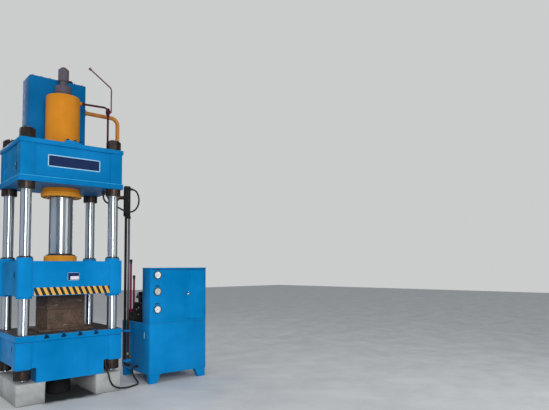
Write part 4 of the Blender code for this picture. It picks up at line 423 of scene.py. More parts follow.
# %% [markdown]
# The frame's solids are light on faces, which suits collision but shows facets and razor edges up close.
# Real welded boxes have rounded edges that catch a thin highlight. A copy of each solid, with its loose
# triangles merged and a small bevel over it, gives that highlight. Rebuilding the boxes would be slower and
# could drift from the solids.

# %% Soften the boxed parts
def soften(finish, edge, *names, steps=2):
    """Stand in for CAD nodes with merged copies whose edges are rounded."""
    for name in names:
        shape = bmesh.new()
        shape.from_mesh(frame["nodes"][name].data)
        bmesh.ops.remove_doubles(shape, verts=shape.verts, dist=0.00002)
        bmesh.ops.dissolve_limit(
            shape, angle_limit=radians(1.0), verts=shape.verts, edges=shape.edges, delimit=set()
        )
        mesh = bpy.data.meshes.new(f"{name}_dressed")
        shape.to_mesh(mesh)
        shape.free()
        mesh.shade_smooth()
        mesh.set_sharp_from_angle(angle=radians(30.0))
        mesh.materials.append(finish)
        piece = bpy.data.objects.new(f"{name}_dressed", mesh)
        scene.collection.objects.link(piece)
        if edge:
            bevel = piece.modifiers.new("edges", "BEVEL")
            bevel.width = edge
            bevel.segments = steps
            bevel.limit_method = "ANGLE"
            bevel.angle_limit = radians(40.0)
        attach(piece, body_of[name])
        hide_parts(name)


body_of = {node: body for body, nodes in frame["record"]["behaviour"]["bodies"].items() for node in nodes}
CORNERS = ("front_left", "front_right", "back_left", "back_right")

soften(blue, 0.0035, "bed", "slide", steps=3)
soften(crown_shaded_blue, 0.0035, "crown", steps=3)
soften(table_blue, 0.0025, "bed_plate")
soften(tank_blue, 0.004, "filling_tank")
soften(blue, 0.002, "oil_tank")
soften(blue, 0.0, "panel_cabinet", "cabinet_door")
soften(rust, 0.002, "die_block")
soften(concrete, 0.006, "support_block_left", "support_block_right")
soften(blue, 0.0015, "cylinder_lock_plate")
soften(worn_orange, 0.0015, "return_pipe")
soften(machine_black, 0.0015, "electric_motor", "valve_block", "riser_pipe_black", "ejector_cylinder")
soften(valve_grey, 0.0015, "prefill_valve_body", "prefill_valve_cap", "pump")
soften(pipe_grey, 0.0, "riser_pipe_grey")
soften(red_oxide, 0.001, "pressure_pipe")
soften(crimson, 0.001, "service_pipes")
soften(brown_pipe, 0.0, "vent_pipe")
soften(zinc, 0.0008, "shaft_coupling")
soften(oiled_bronze, 0.001, *(f"guide_bush_{corner}" for corner in CORNERS))
for nuts in ("crown_nut", "crown_under_nut", "bed_nut"):
    soften(nut_black, 0.002, *(f"{nuts}_{corner}" for corner in CORNERS))
soften(bright, 0.0005, "door_knob")
print("softened parts ready")


# %% [markdown]
# Columns, ram and cylinder are turned parts. In the frame they have a few flat sides, and chrome shows each
# one as a stripe, so they are spun again from the frame's own radii with many steps. The profile runs along
# the axis: chamfer, shank, chamfer. Nuts hold the columns, so their upper ends also get the last turns of a
# thread, as plain rings: a true helix would cost many more faces and look the same from a step away.

# %% Turned parts
def foot_of(node, height=0.0):
    """The point at a height on the upright axis of a round node."""
    low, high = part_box(node)
    return Vector(((low.x + high.x) / 2, (low.y + high.y) / 2, height))


def spin_node(node, finish, profile, steps=96):
    """Stand in for a round CAD node with a smooth one, spun about its upright axis."""
    shape = bmesh.new()
    lathe(shape, profile, foot_of(node), UP, steps)
    piece = settle(f"{node}_turned", shape, finish, body_of[node], sharp=30.0)
    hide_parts(node)


CHAMFER, RAM, BORE = 0.006, 0.145, 0.1595
threads = bmesh.new()
for corner in CORNERS:
    node = f"column_{corner}"
    low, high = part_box(node)
    radius = (high.x - low.x) / 2
    neck = radius - CHAMFER
    column = [(0, low.z), (neck, low.z), (radius, low.z + CHAMFER)]
    column += [(radius, high.z - CHAMFER), (neck, high.z), (0, high.z)]
    spin_node(node, chrome, column)
    thread = [(0, high.z + 0.0008), (neck, high.z + 0.0008)]
    for ridge in range(3):
        crest = high.z - 0.0055 - ridge * 0.004
        thread += [(radius + 0.0006, crest), (radius - 0.0004, crest - 0.002)]
    thread += [(radius + 0.0006, high.z - 0.0175), (radius - 0.001, high.z - 0.0180)]
    lathe(threads, thread, foot_of(node), UP, 64)
settle("column_ends", threads, nut_black, "frame", sharp=25.0)
low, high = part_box("ram")
piston_foot = high.z - 0.10
piston = [(0, low.z), (RAM - 0.004, low.z), (RAM, low.z + 0.004), (RAM, piston_foot)]
piston += [(BORE, piston_foot), (BORE, high.z - 0.004), (BORE - 0.004, high.z), (0, high.z)]
spin_node("ram", chrome, piston, steps=128)
print("columns and ram spun, ram top at", round(high.z, 3))

# %% [markdown]
# The hoses are rubber over steel braid, stiff enough to keep wide bends. Each follows the points that its
# solid follows in the frame: out of its port, down in a loop, and up to the other port. The points could be
# drawn by eye in the viewport, but then a hose and its solid would part somewhere.

# %% Hose routes
HOSES = {
    "hose_long": (0.012, [
        (1.0613, 0.17, 2.78), (1.0793, 0.17, 2.78), (1.1289, 0.1506, 2.7552), (1.1523, 0.1308, 2.705),
        (1.1562, 0.1085, 2.6504), (1.1479, 0.0866, 2.5961), (1.1292, 0.0676, 2.5432),
        (1.0996, 0.0503, 2.495), (1.0594, 0.0348, 2.4545), (1.0084, 0.0216, 2.4277),
        (0.9517, 0.0089, 2.4175), (0.8945, -0.0046, 2.4247), (0.8402, -0.022, 2.4408),
        (0.7871, -0.0411, 2.459), (0.7339, -0.0628, 2.4735), (0.6812, -0.087, 2.4857),
        (0.6288, -0.1132, 2.4948), (0.5778, -0.142, 2.5038), (0.5314, -0.1762, 2.5176),
        (0.4955, -0.2027, 2.5545), (0.487, -0.21, 2.6117), (0.487, -0.21, 2.6297),
    ]),
    "hose_short": (0.012, [
        (0.9367, 0.17, 2.645), (0.9187, 0.17, 2.645), (0.8727, 0.1376, 2.6284), (0.8346, 0.1028, 2.6),
        (0.7972, 0.0664, 2.5726), (0.7589, 0.0283, 2.5493), (0.7162, -0.0088, 2.5332),
        (0.6688, -0.043, 2.535), (0.6242, -0.0697, 2.5609), (0.6, -0.08, 2.6117), (0.6, -0.08, 2.6297),
    ]),
    "floor_hose": (0.011, [
        (0.435, -0.475, 0.4077), (0.435, -0.475, 0.3897), (0.4382, -0.4855, 0.3368),
        (0.4474, -0.5119, 0.2901), (0.4558, -0.5337, 0.2409), (0.4641, -0.5472, 0.1889),
        (0.4787, -0.5561, 0.1373), (0.5091, -0.5566, 0.0927), (0.5527, -0.548, 0.0617),
        (0.6008, -0.5323, 0.0417), (0.6499, -0.5127, 0.029), (0.6992, -0.4911, 0.0204),
        (0.7482, -0.4682, 0.0142), (0.7976, -0.4455, 0.0119), (0.847, -0.4227, 0.0125),
        (0.8958, -0.3986, 0.0125), (0.9387, -0.3652, 0.0123), (0.9656, -0.3194, 0.0201),
        (0.9658, -0.2719, 0.0447), (0.9523, -0.2349, 0.0821), (0.943, -0.2024, 0.1246),
        (0.9496, -0.1646, 0.1627), (0.9757, -0.1255, 0.1891), (1.0217, -0.1, 0.2), (1.0397, -0.1, 0.2),
    ]),
}
print("routes:", {name: len(points) for name, (radius, points) in HOSES.items()})

# %% [markdown]
# A curve object with a round bevel is made of each route: it keeps one centre line, and its length can be
# measured from it. A mesh tube would need its rings turned by hand. Hoses of this kind are crimped at both
# ends, so each end gets a grooved ferrule over the rubber and a hexagon nut over the nipple.

# %% Hoses
def end_fitting(shape, end, back):
    """A crimped ferrule round the hose's end, and a hexagon nut over the nipple beyond it."""
    end, back = Vector(end), Vector(back).normalized()
    profile = [(0.0125, 0.0), (0.0165, 0.0), (0.0172, 0.003)]
    for groove in range(3):
        start = 0.006 + groove * 0.007
        profile += [(0.0172, start), (0.0162, start + 0.0015)]
        profile += [(0.0162, start + 0.0035), (0.0172, start + 0.005)]
    profile += [(0.0172, 0.0275), (0.0160, 0.029), (0.0125, 0.029)]
    lathe(shape, profile, end, back, 24)
    bar(shape, end - back * 0.019, end - back * 0.001, 0.0225, 6)
    bar(shape, end - back * 0.001, end + back * 0.001, 0.0185)


for name, (radius, points) in HOSES.items():
    curve = bpy.data.curves.new(f"{name}_cover", "CURVE")
    curve.dimensions = "3D"
    curve.bevel_depth = radius
    curve.bevel_resolution = 5
    curve.resolution_u = 5
    curve.use_fill_caps = True
    spline = curve.splines.new("BEZIER")
    spline.bezier_points.add(len(points) - 1)
    for knot, point in zip(spline.bezier_points, points):
        knot.co = point
        knot.handle_left_type = knot.handle_right_type = "AUTO"
    curve.materials.append(rubber)
    hose = bpy.data.objects.new(f"{name}_cover", curve)
    scene.collection.objects.link(hose)
    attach(hose, "frame")
    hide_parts(name)
    first_end = end_fitting, points[0], Vector(points[1]) - Vector(points[0])
    last_end = end_fitting, points[-1], Vector(points[-2]) - Vector(points[-1])
    fittings = build(f"{name}_fittings", bolt_black, "zinc", first_end, last_end)
    bpy.context.view_layer.update()

# %% [markdown]
# Screws hold everything on a press, and they are what the eye uses to judge its size. The frame leaves them
# out, so each one is made here: a turned cap screw with its hole, or a hexagon head on a washer. They could
# be instances of one mesh, but a ring of them in one bmesh makes a single tidy piece.

# %% Screw heads
def cap_screw(shape, at, out, radius):
    """A socket head screw that stands on a face."""
    tall, hole = radius * 1.1, radius * 0.52
    profile = [(0, tall * 0.4), (hole, tall * 0.4), (hole, tall), (radius * 0.88, tall)]
    profile += [(radius, tall * 0.88), (radius, -SINK), (0, -SINK)]
    lathe(shape, profile, Vector(at), out, 16)


def hex_screw(shape, at, out, radius):
    """A hexagon head screw on its washer."""
    at, out = Vector(at), Vector(out).normalized()
    bar(shape, at - out * SINK, at + out * radius * 0.22, radius * 1.25, 20)
    bar(shape, at + out * radius * 0.20, at + out * radius * 0.95, radius, 6)
    bar(shape, at + out * radius * 0.90, at + out * radius * 1.02, radius * 0.82, 16)


def round_places(count, radius, at, out, start=0.0):
    """Places at even angles on a circle round an axis."""
    stand = Matrix.Translation(at) @ facing(out)
    angles = [2 * pi * (i + start) / count for i in range(count)]
    return [stand @ Vector((radius * cos(a), radius * sin(a), 0)) for a in angles]


def screws(name, kind, places, out, radius, body="frame"):
    """One piece of many screws that face the same way."""
    heads = [(kind, place, out, radius) for place in places]
    build(f"{name}_screws", bolt_black, "black_oxide", *heads, body=body, sharp=30.0)


print("screw makers ready")

# %% [markdown]
# The main cylinder hangs in the crown by its flange, and the gland closes it round the ram. Both are turned,
# so both are spun from their profiles. The ram's foot sits in a clamping flange on the slide, which moves
# with it. The cylinder could be softened like the crown, but its flat sides would still show on the paint.

# %% Cylinder, gland and ram flange
low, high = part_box("main_cylinder")
BARREL, FLANGE = 0.215, 0.235
CROWN_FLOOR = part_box("crown")[1].z - 0.53
barrel = [
    (0.06, high.z), (BARREL - 0.014, high.z), (BARREL - 0.004, high.z - 0.004), (BARREL, high.z - 0.014),
    (BARREL, CROWN_FLOOR), (FLANGE, CROWN_FLOOR), (FLANGE, low.z), (0.160, low.z),
    (0.160, high.z - 0.07), (0.06, high.z - 0.07), (0.06, high.z),
]
PORT = Vector((0.2378, -0.0344, 3.86))
port_out = Vector((PORT.x, PORT.y, 0)).normalized()
cylinder = build(
    "main_cylinder_barrel", orange, "orange_paint",
    (lathe, barrel, Vector((0, 0, 0)), UP, 128),
    (bar, PORT - port_out * 0.045, PORT - port_out * SINK, 0.024),
    sharp=28.0,
)
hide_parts("main_cylinder")

low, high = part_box("cylinder_gland")
rim, face = 0.252, low.z + 0.055
gland = [
    (BORE, high.z), (BORE, face), (rim - 0.003, face), (rim, face - 0.003), (rim, face - 0.018),
    (rim - 0.009, face - 0.020), (rim - 0.009, face - 0.029), (rim, face - 0.031), (rim, low.z + 0.006),
    (rim - 0.006, low.z), (RAM + 0.0005, low.z), (RAM + 0.0005, high.z), (BORE, high.z),
]
spin_node("cylinder_gland", flange_orange, gland, steps=128)
screws("gland", cap_screw, round_places(16, 0.212, (0, 0, low.z), DOWN, 0.5), DOWN, 0.008)

low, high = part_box("ram_flange")
rim, hole = 0.2025, RAM + 0.0003
foot_ring = [
    (hole, low.z), (rim - 0.003, low.z), (rim, low.z + 0.003), (rim, high.z - 0.012), (rim - 0.012, high.z),
    (hole, high.z), (hole, low.z),
]
spin_node("ram_flange", flange_orange, foot_ring, steps=128)
screws("ram_flange", cap_screw, round_places(12, 0.172, (0, 0, high.z), UP), UP, 0.0115, "slide")
print("cylinder, gland and flange spun, with 28 screws")

# %% [markdown]
# Rubber wipers keep dirt out of every sliding fit: one on the gland's lip, one on a collar at the ram's
# foot, and one on each guide bush. They are thin lipped rings that hug the chrome with a hair of clearance,
# each on the piece that it is pressed into. A flat black line would read as paint, so they have a section.

# %% Wipers
def wiper(shape, at, out, inner, width):
    """A lipped ring round a rod, standing on a face."""
    inner += 0.0006
    profile = [(inner + width * 0.35, -SINK), (inner + width, -SINK), (inner + width, 0.0035)]
    profile += [(inner + width * 0.7, 0.0055), (inner + width * 0.4, 0.0055), (inner, 0.0085)]
    profile += [(inner, 0.0030), profile[0]]
    lathe(shape, profile, Vector(at), out, 64)


gland_lip = Vector((0, 0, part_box("cylinder_gland")[0].z))
build("gland_wiper", seal_rubber, "rubber", (wiper, gland_lip, DOWN, RAM, 0.012), sharp=25.0)
foot = Vector((0, 0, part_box("ram_flange")[1].z))
COLLAR_HEIGHT, inner, outer = 0.017, RAM + 0.0006, 0.158
collar = [
    (inner, -SINK), (outer, -SINK), (outer, COLLAR_HEIGHT - 0.003), (outer - 0.003, COLLAR_HEIGHT),
    (inner, COLLAR_HEIGHT), (inner, -SINK),
]
rings = [(lathe, collar, foot, UP, 96), (wiper, foot + Vector((0, 0, COLLAR_HEIGHT)), UP, RAM, 0.008)]
for corner in CORNERS:
    bush = f"guide_bush_{corner}"
    rings.append((wiper, foot_of(bush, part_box(bush)[1].z), UP, 0.0625, 0.010))
build("slide_wipers", seal_rubber, "rubber", *rings, body="slide", sharp=25.0)
print("wipers: 6")

# %% [markdown]
# Printed sheet is smoother than enamel and has only fine scuffs. The warning band's stripes could be cut out
# as pieces, but on the real press they are print, so the material draws them: it adds height to width, and a
# slanted line is wherever that sum has the same value.

# %% Sheet and print
def sheet_metal(name, colour, rough=0.42):
    """Printed or painted sheet, with fine scuffs."""
    sheet = Finish(name, Specular_IOR_Level=0.12)
    scuff = sheet.ranged(sheet.noise(60.0, 5.0, 0.65), 0.60, 0.78, 0.0, 0.35)
    tone = sheet.mixed(scuff, colour, [min(1.0, c * 0.8 + 0.03) for c in colour])
    return sheet.done(tone, sheet.ranged(sheet.noise(25.0, 3.0), 0.3, 0.7, rough - 0.06, rough + 0.10))


def striped(name, first, second, pitch, slant=0.45, rough=0.45):
    """Two colours in slanted bands, worn along scratches."""
    band = Finish(name, Specular_IOR_Level=0.12)
    slope = band.maths("ADD", band.along(0), band.maths("MULTIPLY", band.along(2), slant))
    place = band.maths("FRACT", band.maths("DIVIDE", slope, pitch))
    tone = band.mixed(band.ranged(place, 0.485, 0.50), first, second)
    worn = band.ranged(band.noise(38.0, 6.0, 0.7), 0.62, 0.70, 0.0, 0.55)
    tone = band.mixed(worn, tone, (0.045, 0.05, 0.055))
    return band.done(tone, band.ranged(band.noise(20.0, 3.0), 0.3, 0.7, rough - 0.05, rough + 0.12))


navy = sheet_metal("navy_plate", (0.004, 0.014, 0.060))
pale_edge = sheet_metal("pale_plate_edge", (0.26, 0.46, 0.60))
pale_panel = sheet_metal("pale_panel", (0.52, 0.50, 0.53))
print_black = sheet_metal("print_black", (0.015, 0.015, 0.016), rough=0.5)
warning = striped("warning_band", (0.018, 0.013, 0.014), (0.52, 0.31, 0.066), 0.0755)
print("prints: 5")

# %% [markdown]
# Bare plates, stripes and a pale strip along the crown's lower flange give the painted beams their scale;
# that strip's paler blue is a painted highlight. The crown carries a long dark plate with a pale edge, the
# slide a small one, and the slide's foot a black and yellow warning band. The plates stay blank. They are
# thin blocks rather than drawings in the paint, so they cast their small shadows.

# %% Plates and warning band
SLIDE_FRONT, CROWN_FRONT = -0.4930, -0.4750


def plate(shape, low, high, face, proud, sunk, edge):
    """A thin block on a wall that faces the front, between two corners given as (x, z)."""
    block(shape, (low[0], face - proud, low[1]), (high[0], face + sunk, high[1]), edge, 1)


def bordered_plate(name, low, high, face, rim, body, thick=0.002):
    """A blank plate with a raised edge and a screw in each corner."""
    border = plate, low, high, face, thick, SINK, 0.0006
    build(f"{name}_edge", pale_edge, "zinc", border, body=body)
    near, far = (low[0] + rim, low[1] + rim), (high[0] - rim, high[1] - rim)
    field = plate, near, far, face, thick + 0.0008, 0, 0.0003
    build(f"{name}_field", navy, "black_oxide", field, body=body)
    inset = rim * 0.5
    sides, levels = (low[0] + inset, high[0] - inset), (low[1] + inset, high[1] - inset)
    screws(name, cap_screw, [(x, face - thick, z) for x in sides for z in levels], FRONT, 0.0035, body)


bordered_plate("crown_plate", (-0.317, 2.855), (0.333, 3.005), CROWN_FRONT, 0.011, "frame")
bordered_plate("slide_plate", (-0.063, 1.449), (0.080, 1.548), SLIDE_FRONT, 0.004, "slide")
panel = plate, (-0.030, 1.460), (0.072, 1.502), SLIDE_FRONT, 0.0034, -0.0024, 0.0003
build("slide_plate_panel", pale_panel, "zinc", panel, body="slide")
band = plate, (-0.450, 1.277), (0.474, 1.371), SLIDE_FRONT, 0.0012, SINK, 0.0004
build("warning_band", warning, "black_oxide", band, body="slide")
# Thin bars of paler blue round the crown's lower flange: a painted highlight along its edge.
edge_z, edges = CROWN_FLOOR + 0.0685, []
for side in (-1, 1):
    edges.append((bar, (-0.637, side * 0.4965, edge_z), (0.637, side * 0.4965, edge_z), 0.0042, 12))
    edges.append((bar, (side * 0.6415, -0.492, edge_z), (side * 0.6415, 0.492, edge_z), 0.0042, 12))
build("crown_highlight_edge", highlight_blue, "blue_paint", *edges)
# The edge counted here is the painted highlight along the crown's lower flange.
print("two plates, a warning band and a worn edge")

# %% [markdown]
# The beams have round holes in their sides, for the bars that lift them. Their insides fall into shade, so
# each front hole gets a turned cup whose near-black colour is painted shade, and the crown's holes have a
# bright rim. The back holes aren't used and are closed with painted plugs. A black disc would do from one
# place, but from the side it would show.

# %% Lifting holes
# The cups' near-black colour is painted shade, standing for the dark inside of each hole.
hole_painted_shade = enamel("hole_painted_shade_enamel", (0.012, 0.018, 0.030), gloss=0.6, wear=0.5)
CUP = [
    (0, -0.0975), (0.0485, -0.0975), (0.0485, -0.0005), (0.0478, -0.0005), (0.0478, -0.095), (0, -0.095),
]
HOLE_RIM = [
    (0.0485, -0.01), (0.0545, -SINK), (0.0545, 0.0016), (0.050, 0.0016), (0.0478, -0.002), (0.0478, -0.01),
    (0.0485, -0.01),
]
PLUG = [(0, 0.0004), (0.0480, 0.0004), (0.0492, -0.0010), (0.0492, -0.006), (0, -0.006)]
LIFTING_Y = 0.27


def lifting_holes(name, half, height, body, rim=None):
    """Liners in painted shade for the front holes of one beam, and painted plugs for the back ones."""
    def turned(profile, y):
        return [(lathe, profile, Vector((side * half, y, height)), (side, 0, 0), 40) for side in (-1, 1)]

    build(f"{name}_hole_shade_liners", hole_painted_shade, "black_oxide", *turned(CUP, -LIFTING_Y), body=body)
    build(f"{name}_hole_plugs", blue, "blue_paint", *turned(PLUG, LIFTING_Y), body=body)
    if rim:
        build(f"{name}_hole_rims", rim, "zinc", *turned(HOLE_RIM, -LIFTING_Y), body=body)


lifting_holes("crown", 0.620, CROWN_FLOOR + 0.21, "frame", bright)
lifting_holes("bed", 0.620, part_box("bed_plate")[1].z - 0.18, "frame")
lifting_holes("slide", 0.613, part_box("slide")[0].z + 0.03 + 0.42 - 0.17, "slide")
print("lined holes: 6, plugged holes: 6")

# %% [markdown]
# Three pressure gauges look out of the cabinet. A real one is a steel case with a pale dial, printed ticks, a
# needle and a glass, so each is built in that order. The middle dial is duller than the others, so it has a
# finish of its own. The ticks and numbers could be a texture, but small pieces stay sharp at any distance.

# %% What gauges are made of
def clear_glass(name, tint=(0.9, 0.95, 0.95), cover=0.10):
    """Thin glass that mostly lets the view through."""
    glass = Finish(name, Specular_IOR_Level=0.6, Alpha=cover, Base_Color=(*tint, 1.0))
    return glass.done(roughness=glass.ranged(glass.noise(40.0, 3.0), 0.3, 0.7, 0.04, 0.10))


def add_number(shape, words, height, at):
    """Flat figures that face the front, put into a bmesh."""
    curve = bpy.data.curves.new("figures", "FONT")
    curve.body = words
    curve.size = height
    curve.align_x, curve.align_y = "CENTER", "CENTER"
    curve.extrude = 0.0001
    holder = bpy.data.objects.new("figures", curve)
    scene.collection.objects.link(holder)
    bpy.context.view_layer.update()
    mesh = bpy.data.meshes.new_from_object(holder.evaluated_get(bpy.context.evaluated_depsgraph_get()))
    mesh.transform(Matrix.Translation(at) @ Matrix.Rotation(pi / 2, 4, "X"))
    shape.from_mesh(mesh)
    bpy.data.objects.remove(holder, do_unlink=True)
    bpy.data.curves.remove(curve)
    bpy.data.meshes.remove(mesh)


def paint_node(node, finish):
    """Give a CAD node, which keeps its own mesh, another finish."""
    materials = frame["nodes"][node].data.materials
    materials.clear()
    materials.append(finish)


dial_white = sheet_metal("dial_white", (0.58, 0.62, 0.64), rough=0.35)
# The middle dial's finish is greyer than the others.
dial_greyer = sheet_metal("dial_greyer", (0.34, 0.36, 0.33), rough=0.35)
needle_black = sheet_metal("needle_black", (0.020, 0.018, 0.018), rough=0.4)
gauge_glass = clear_glass("gauge_glass")
bezel = dark_steel("gauge_bezel", (0.085, 0.095, 0.105), (0.060, 0.066, 0.075), 0.30, 0.45)
print("gauge finishes: 5")

# %% [markdown]
# A dial's needle turns through three quarters of a circle, so the print does too: 41 ticks, each tenth one
# longer and wider, with figures inside the ring. A helper makes one gauge round its node's middle, and a
# loop calls it three times, so the three can't differ by a slip.

# %% Gauges
SWEEP, DIAL = 135.0, 0.0465


def dial_print(shape, at):
    """Ticks and figures on a dial that faces the front."""
    for tick in range(41):
        angle = radians(-SWEEP + tick * 2 * SWEEP / 40)
        inner, wide = (0.0345, 0.0011) if tick % 10 == 0 else (0.0375, 0.0005)
        out, sunk = Vector((sin(angle), 0, cos(angle))), Vector((0, 0.0102, 0))
        bar(shape, at + out * inner + sunk, at + out * 0.0425 + sunk, wide, 4)
    for tenth in range(5):
        angle = radians(-SWEEP + tenth * SWEEP / 2)
        spot = at + Vector((sin(angle) * 0.026, 0.0103, cos(angle) * 0.026))
        add_number(shape, str(tenth * 10), 0.0095, spot)


def make_gauge(kind, dial):
    """One gauge round the middle of its CAD node: case, dial, print, glass and a blank label."""
    low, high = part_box(f"gauge_{kind}")
    at = Vector(((low.x + high.x) / 2, low.y, (low.z + high.z) / 2))
    rim = (high.x - low.x) / 2
    case = [
        (0, -0.0122), (DIAL, -0.0122), (DIAL, -0.0015), (DIAL + 0.0015, 0), (rim - 0.004, 0),
        (rim - 0.001, -0.002), (rim, -0.006), (rim, -0.0215), (0.0455, -0.0215), (0.0455, -0.070),
        (0, -0.070),
    ]
    piece = build(f"gauge_{kind}_case", bezel, "dial", (lathe, case, at, FRONT, 72), sharp=28.0)
    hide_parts(f"gauge_{kind}")
    face = [(0, -0.0103), (DIAL - 0.0002, -0.0103), (DIAL - 0.0002, -0.0118), (0, -0.0118)]
    build(f"gauge_{kind}_dial", dial, "dial", (lathe, face, at, FRONT, 72))
    build(f"gauge_{kind}_print", print_black, "needle", (dial_print, at), sharp=60.0)
    pane = [(0, -0.0025), (DIAL, -0.0025), (DIAL, -0.0040), (0, -0.0040)]
    build(f"gauge_{kind}_glass", gauge_glass, "dial", (lathe, pane, at, FRONT, 72))
    label = (at.x - 0.036, -0.4716, at.z + 0.071), (at.x + 0.036, -0.4698, at.z + 0.084)
    build(f"gauge_{kind}_label", navy, "black_oxide", (block, *label, 0.0003, 1))
    paint_node(f"gauge_needle_{kind}", needle_black)


for kind, dial in (("lower", dial_white), ("middle", dial_greyer), ("upper", dial_white)):
    make_gauge(kind, dial)
print("gauges: 3")

# %% [markdown]
# The cabinet is folded sheet, and its top has a lip that sheds water, with a dark strip under it whose colour
# is a painted shadow. The lip could be part of the box, but as its own thin block it gets its own rounded
# edge, and the strip draws the shadow line that one sees from the front.

# %% Cabinet's top
LEFT_SIDE, RIGHT_SIDE, CABINET_TOP = 1.06, 1.97, 1.6003
FRONT_FACE, BACK_FACE = -0.47, -0.24
lip_low = LEFT_SIDE - 0.002, FRONT_FACE - 0.005, CABINET_TOP - 0.016
lip_high = RIGHT_SIDE + 0.002, BACK_FACE + 0.002, CABINET_TOP + 0.002
build("cabinet_top_lip", blue, "blue_paint", (block, lip_low, lip_high, 0.0018))
# A thin navy strip under the lip stands for the shadow that the lip casts: painted shadow.
shadow_strip_low = LEFT_SIDE + 0.006, FRONT_FACE - 0.0008, CABINET_TOP - 0.024
shadow_strip_high = RIGHT_SIDE - 0.006, FRONT_FACE + SINK, CABINET_TOP - 0.0155
build("cabinet_lip_shadow", navy, "blue_paint", (block, shadow_strip_low, shadow_strip_high, 0.0002, 1))
# The gap in this print is the painted shadow strip under the lip.
print("cabinet has its lip, with a gap under it")

# %% [markdown]
# The door can open, so there is something behind it: a zinc plate with rails, contactors, slotted wiring
# ducts and a row of terminals. The photograph doesn't show the inside, and this is what such a cabinet
# usually holds. It could be left empty, but that would look wrong as soon as the door swings. All of it is
# blocks at even steps, so loops place them.

# %% What is in the cabinet
relay_grey = sheet_metal("relay_grey", (0.16, 0.165, 0.16), rough=0.5)
relay_dark = sheet_metal("relay_dark", (0.020, 0.021, 0.022), rough=0.45)
duct_grey = sheet_metal("duct_grey", (0.30, 0.31, 0.31), rough=0.55)
PLATE = BACK_FACE - 0.022
RAIL_LEFT, RAIL_RIGHT = 1.34, 1.92

parts = [(block, (1.30, PLATE, 0.875), (1.955, PLATE + 0.002, 1.560), 0.0008, 1)]
for x in (1.33, 1.93):
    for z in (0.90, 1.53):
        parts.append((bar, (x, PLATE, z), (x, BACK_FACE - 0.0028, z), 0.007, 12))
for z in (1.10, 1.30, 1.47):
    for half, front, back in ((0.0175, 0.009, -0.0075), (0.0125, 0.008, SINK)):
        ends = (RAIL_LEFT, PLATE - front, z - half), (RAIL_RIGHT, PLATE + back, z + half)
        parts.append((block, *ends, 0.0003, 1))
build("mounting_plate", zinc, "zinc", *parts)

parts = []
for z in (0.985, 1.20, 1.385):
    ends = (RAIL_LEFT, PLATE - 0.045, z - 0.02), (RAIL_RIGHT, PLATE + SINK, z + 0.02)
    parts.append((block, *ends, 0.0012, 1))
    for slot in range(24):
        x = 1.352 + slot * 0.024
        for lip in (z - 0.0195, z + 0.0195):
            parts.append((block, (x, PLATE - 0.044, lip - 0.004), (x + 0.013, PLATE - 0.004, lip + 0.004)))
build("wiring_ducts", duct_grey, "dial", *parts)

parts = []
for z, wide, tall, deep, count in (
    (1.30, 0.045, 0.078, 0.075, 9), (1.47, 0.036, 0.080, 0.068, 10), (1.10, 0.045, 0.074, 0.085, 5),
):
    for item in range(count):
        x = 1.40 + item * (wide + 0.012)
        case = (x, PLATE - 0.009 - deep, z - tall / 2), (x + wide, PLATE - 0.010, z + tall / 2)
        nose_low = x + wide * 0.2, PLATE - 0.016 - deep, z - tall * 0.2
        nose_high = x + wide * 0.8, PLATE - 0.008 - deep, z + tall * 0.2
        parts += [(block, *case, 0.002, 1), (block, nose_low, nose_high, 0.0015, 1)]
build("contactors", relay_dark, "black_oxide", *parts)

parts = []
for item in range(22):
    x = 1.345 + item * 0.0085
    ends = (x + 0.37, PLATE - 0.052, 1.07), (x + 0.377, PLATE - 0.010, 1.125)
    parts.append((block, *ends, 0.0007, 1))
build("terminal_blocks", relay_grey, "dial", *parts)
print("in the cabinet: 24 contactors and relays, 3 ducts, 22 terminals")

# %% [markdown]
# The door is held by a turning latch in a painted rose, with a mark that says which way it stands. The knob
# is a solid of the frame, so only the ring round it and the mark on it are new. The rose rides on the door
# and the mark on the knob: painted on the door, the mark would stay behind when the knob turns.

# %% Door latch
low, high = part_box("door_knob")
knob_x, knob_z = (low.x + high.x) / 2, (low.z + high.z) / 2
rose = [(0.018, 0), (0.0235, 0), (0.0245, 0.0012), (0.0235, 0.0024), (0.018, 0.0024), (0.018, 0)]
rose_at = Vector((knob_x, FRONT_FACE + 0.0042, knob_z))
build("latch_rose", tank_blue, "zinc", (lathe, rose, rose_at, FRONT, 40), body="door")
mark_low = knob_x - 0.0012, low.y - 0.0006, knob_z + 0.002
mark_high = knob_x + 0.0012, low.y + 0.002, knob_z + 0.012
build("latch_mark", print_black, "black_oxide", (block, mark_low, mark_high, 0.0003, 1), body="knob")
print("latch has a rose and a mark")

# %% [markdown]
# Pipes are joined by hexagon unions and by flanges with screws. These small parts say which way a pipe can
# be taken off. Each union here is a hexagon with chamfered ends round its pipe, a little wider than the
# pipe, and sits where the pipe meets a port. A plain ring would look like a bead on a string.

# %% Pipe unions and flange screws
def union(shape, start, end, radius):
    """A hexagon union between two points, its corners turned off at both ends."""
    start, end = Vector(start), Vector(end)
    out = (end - start).normalized()
    bar(shape, start + out * radius * 0.12, end - out * radius * 0.12, radius, 6)
    bar(shape, start, end, radius * 0.86)


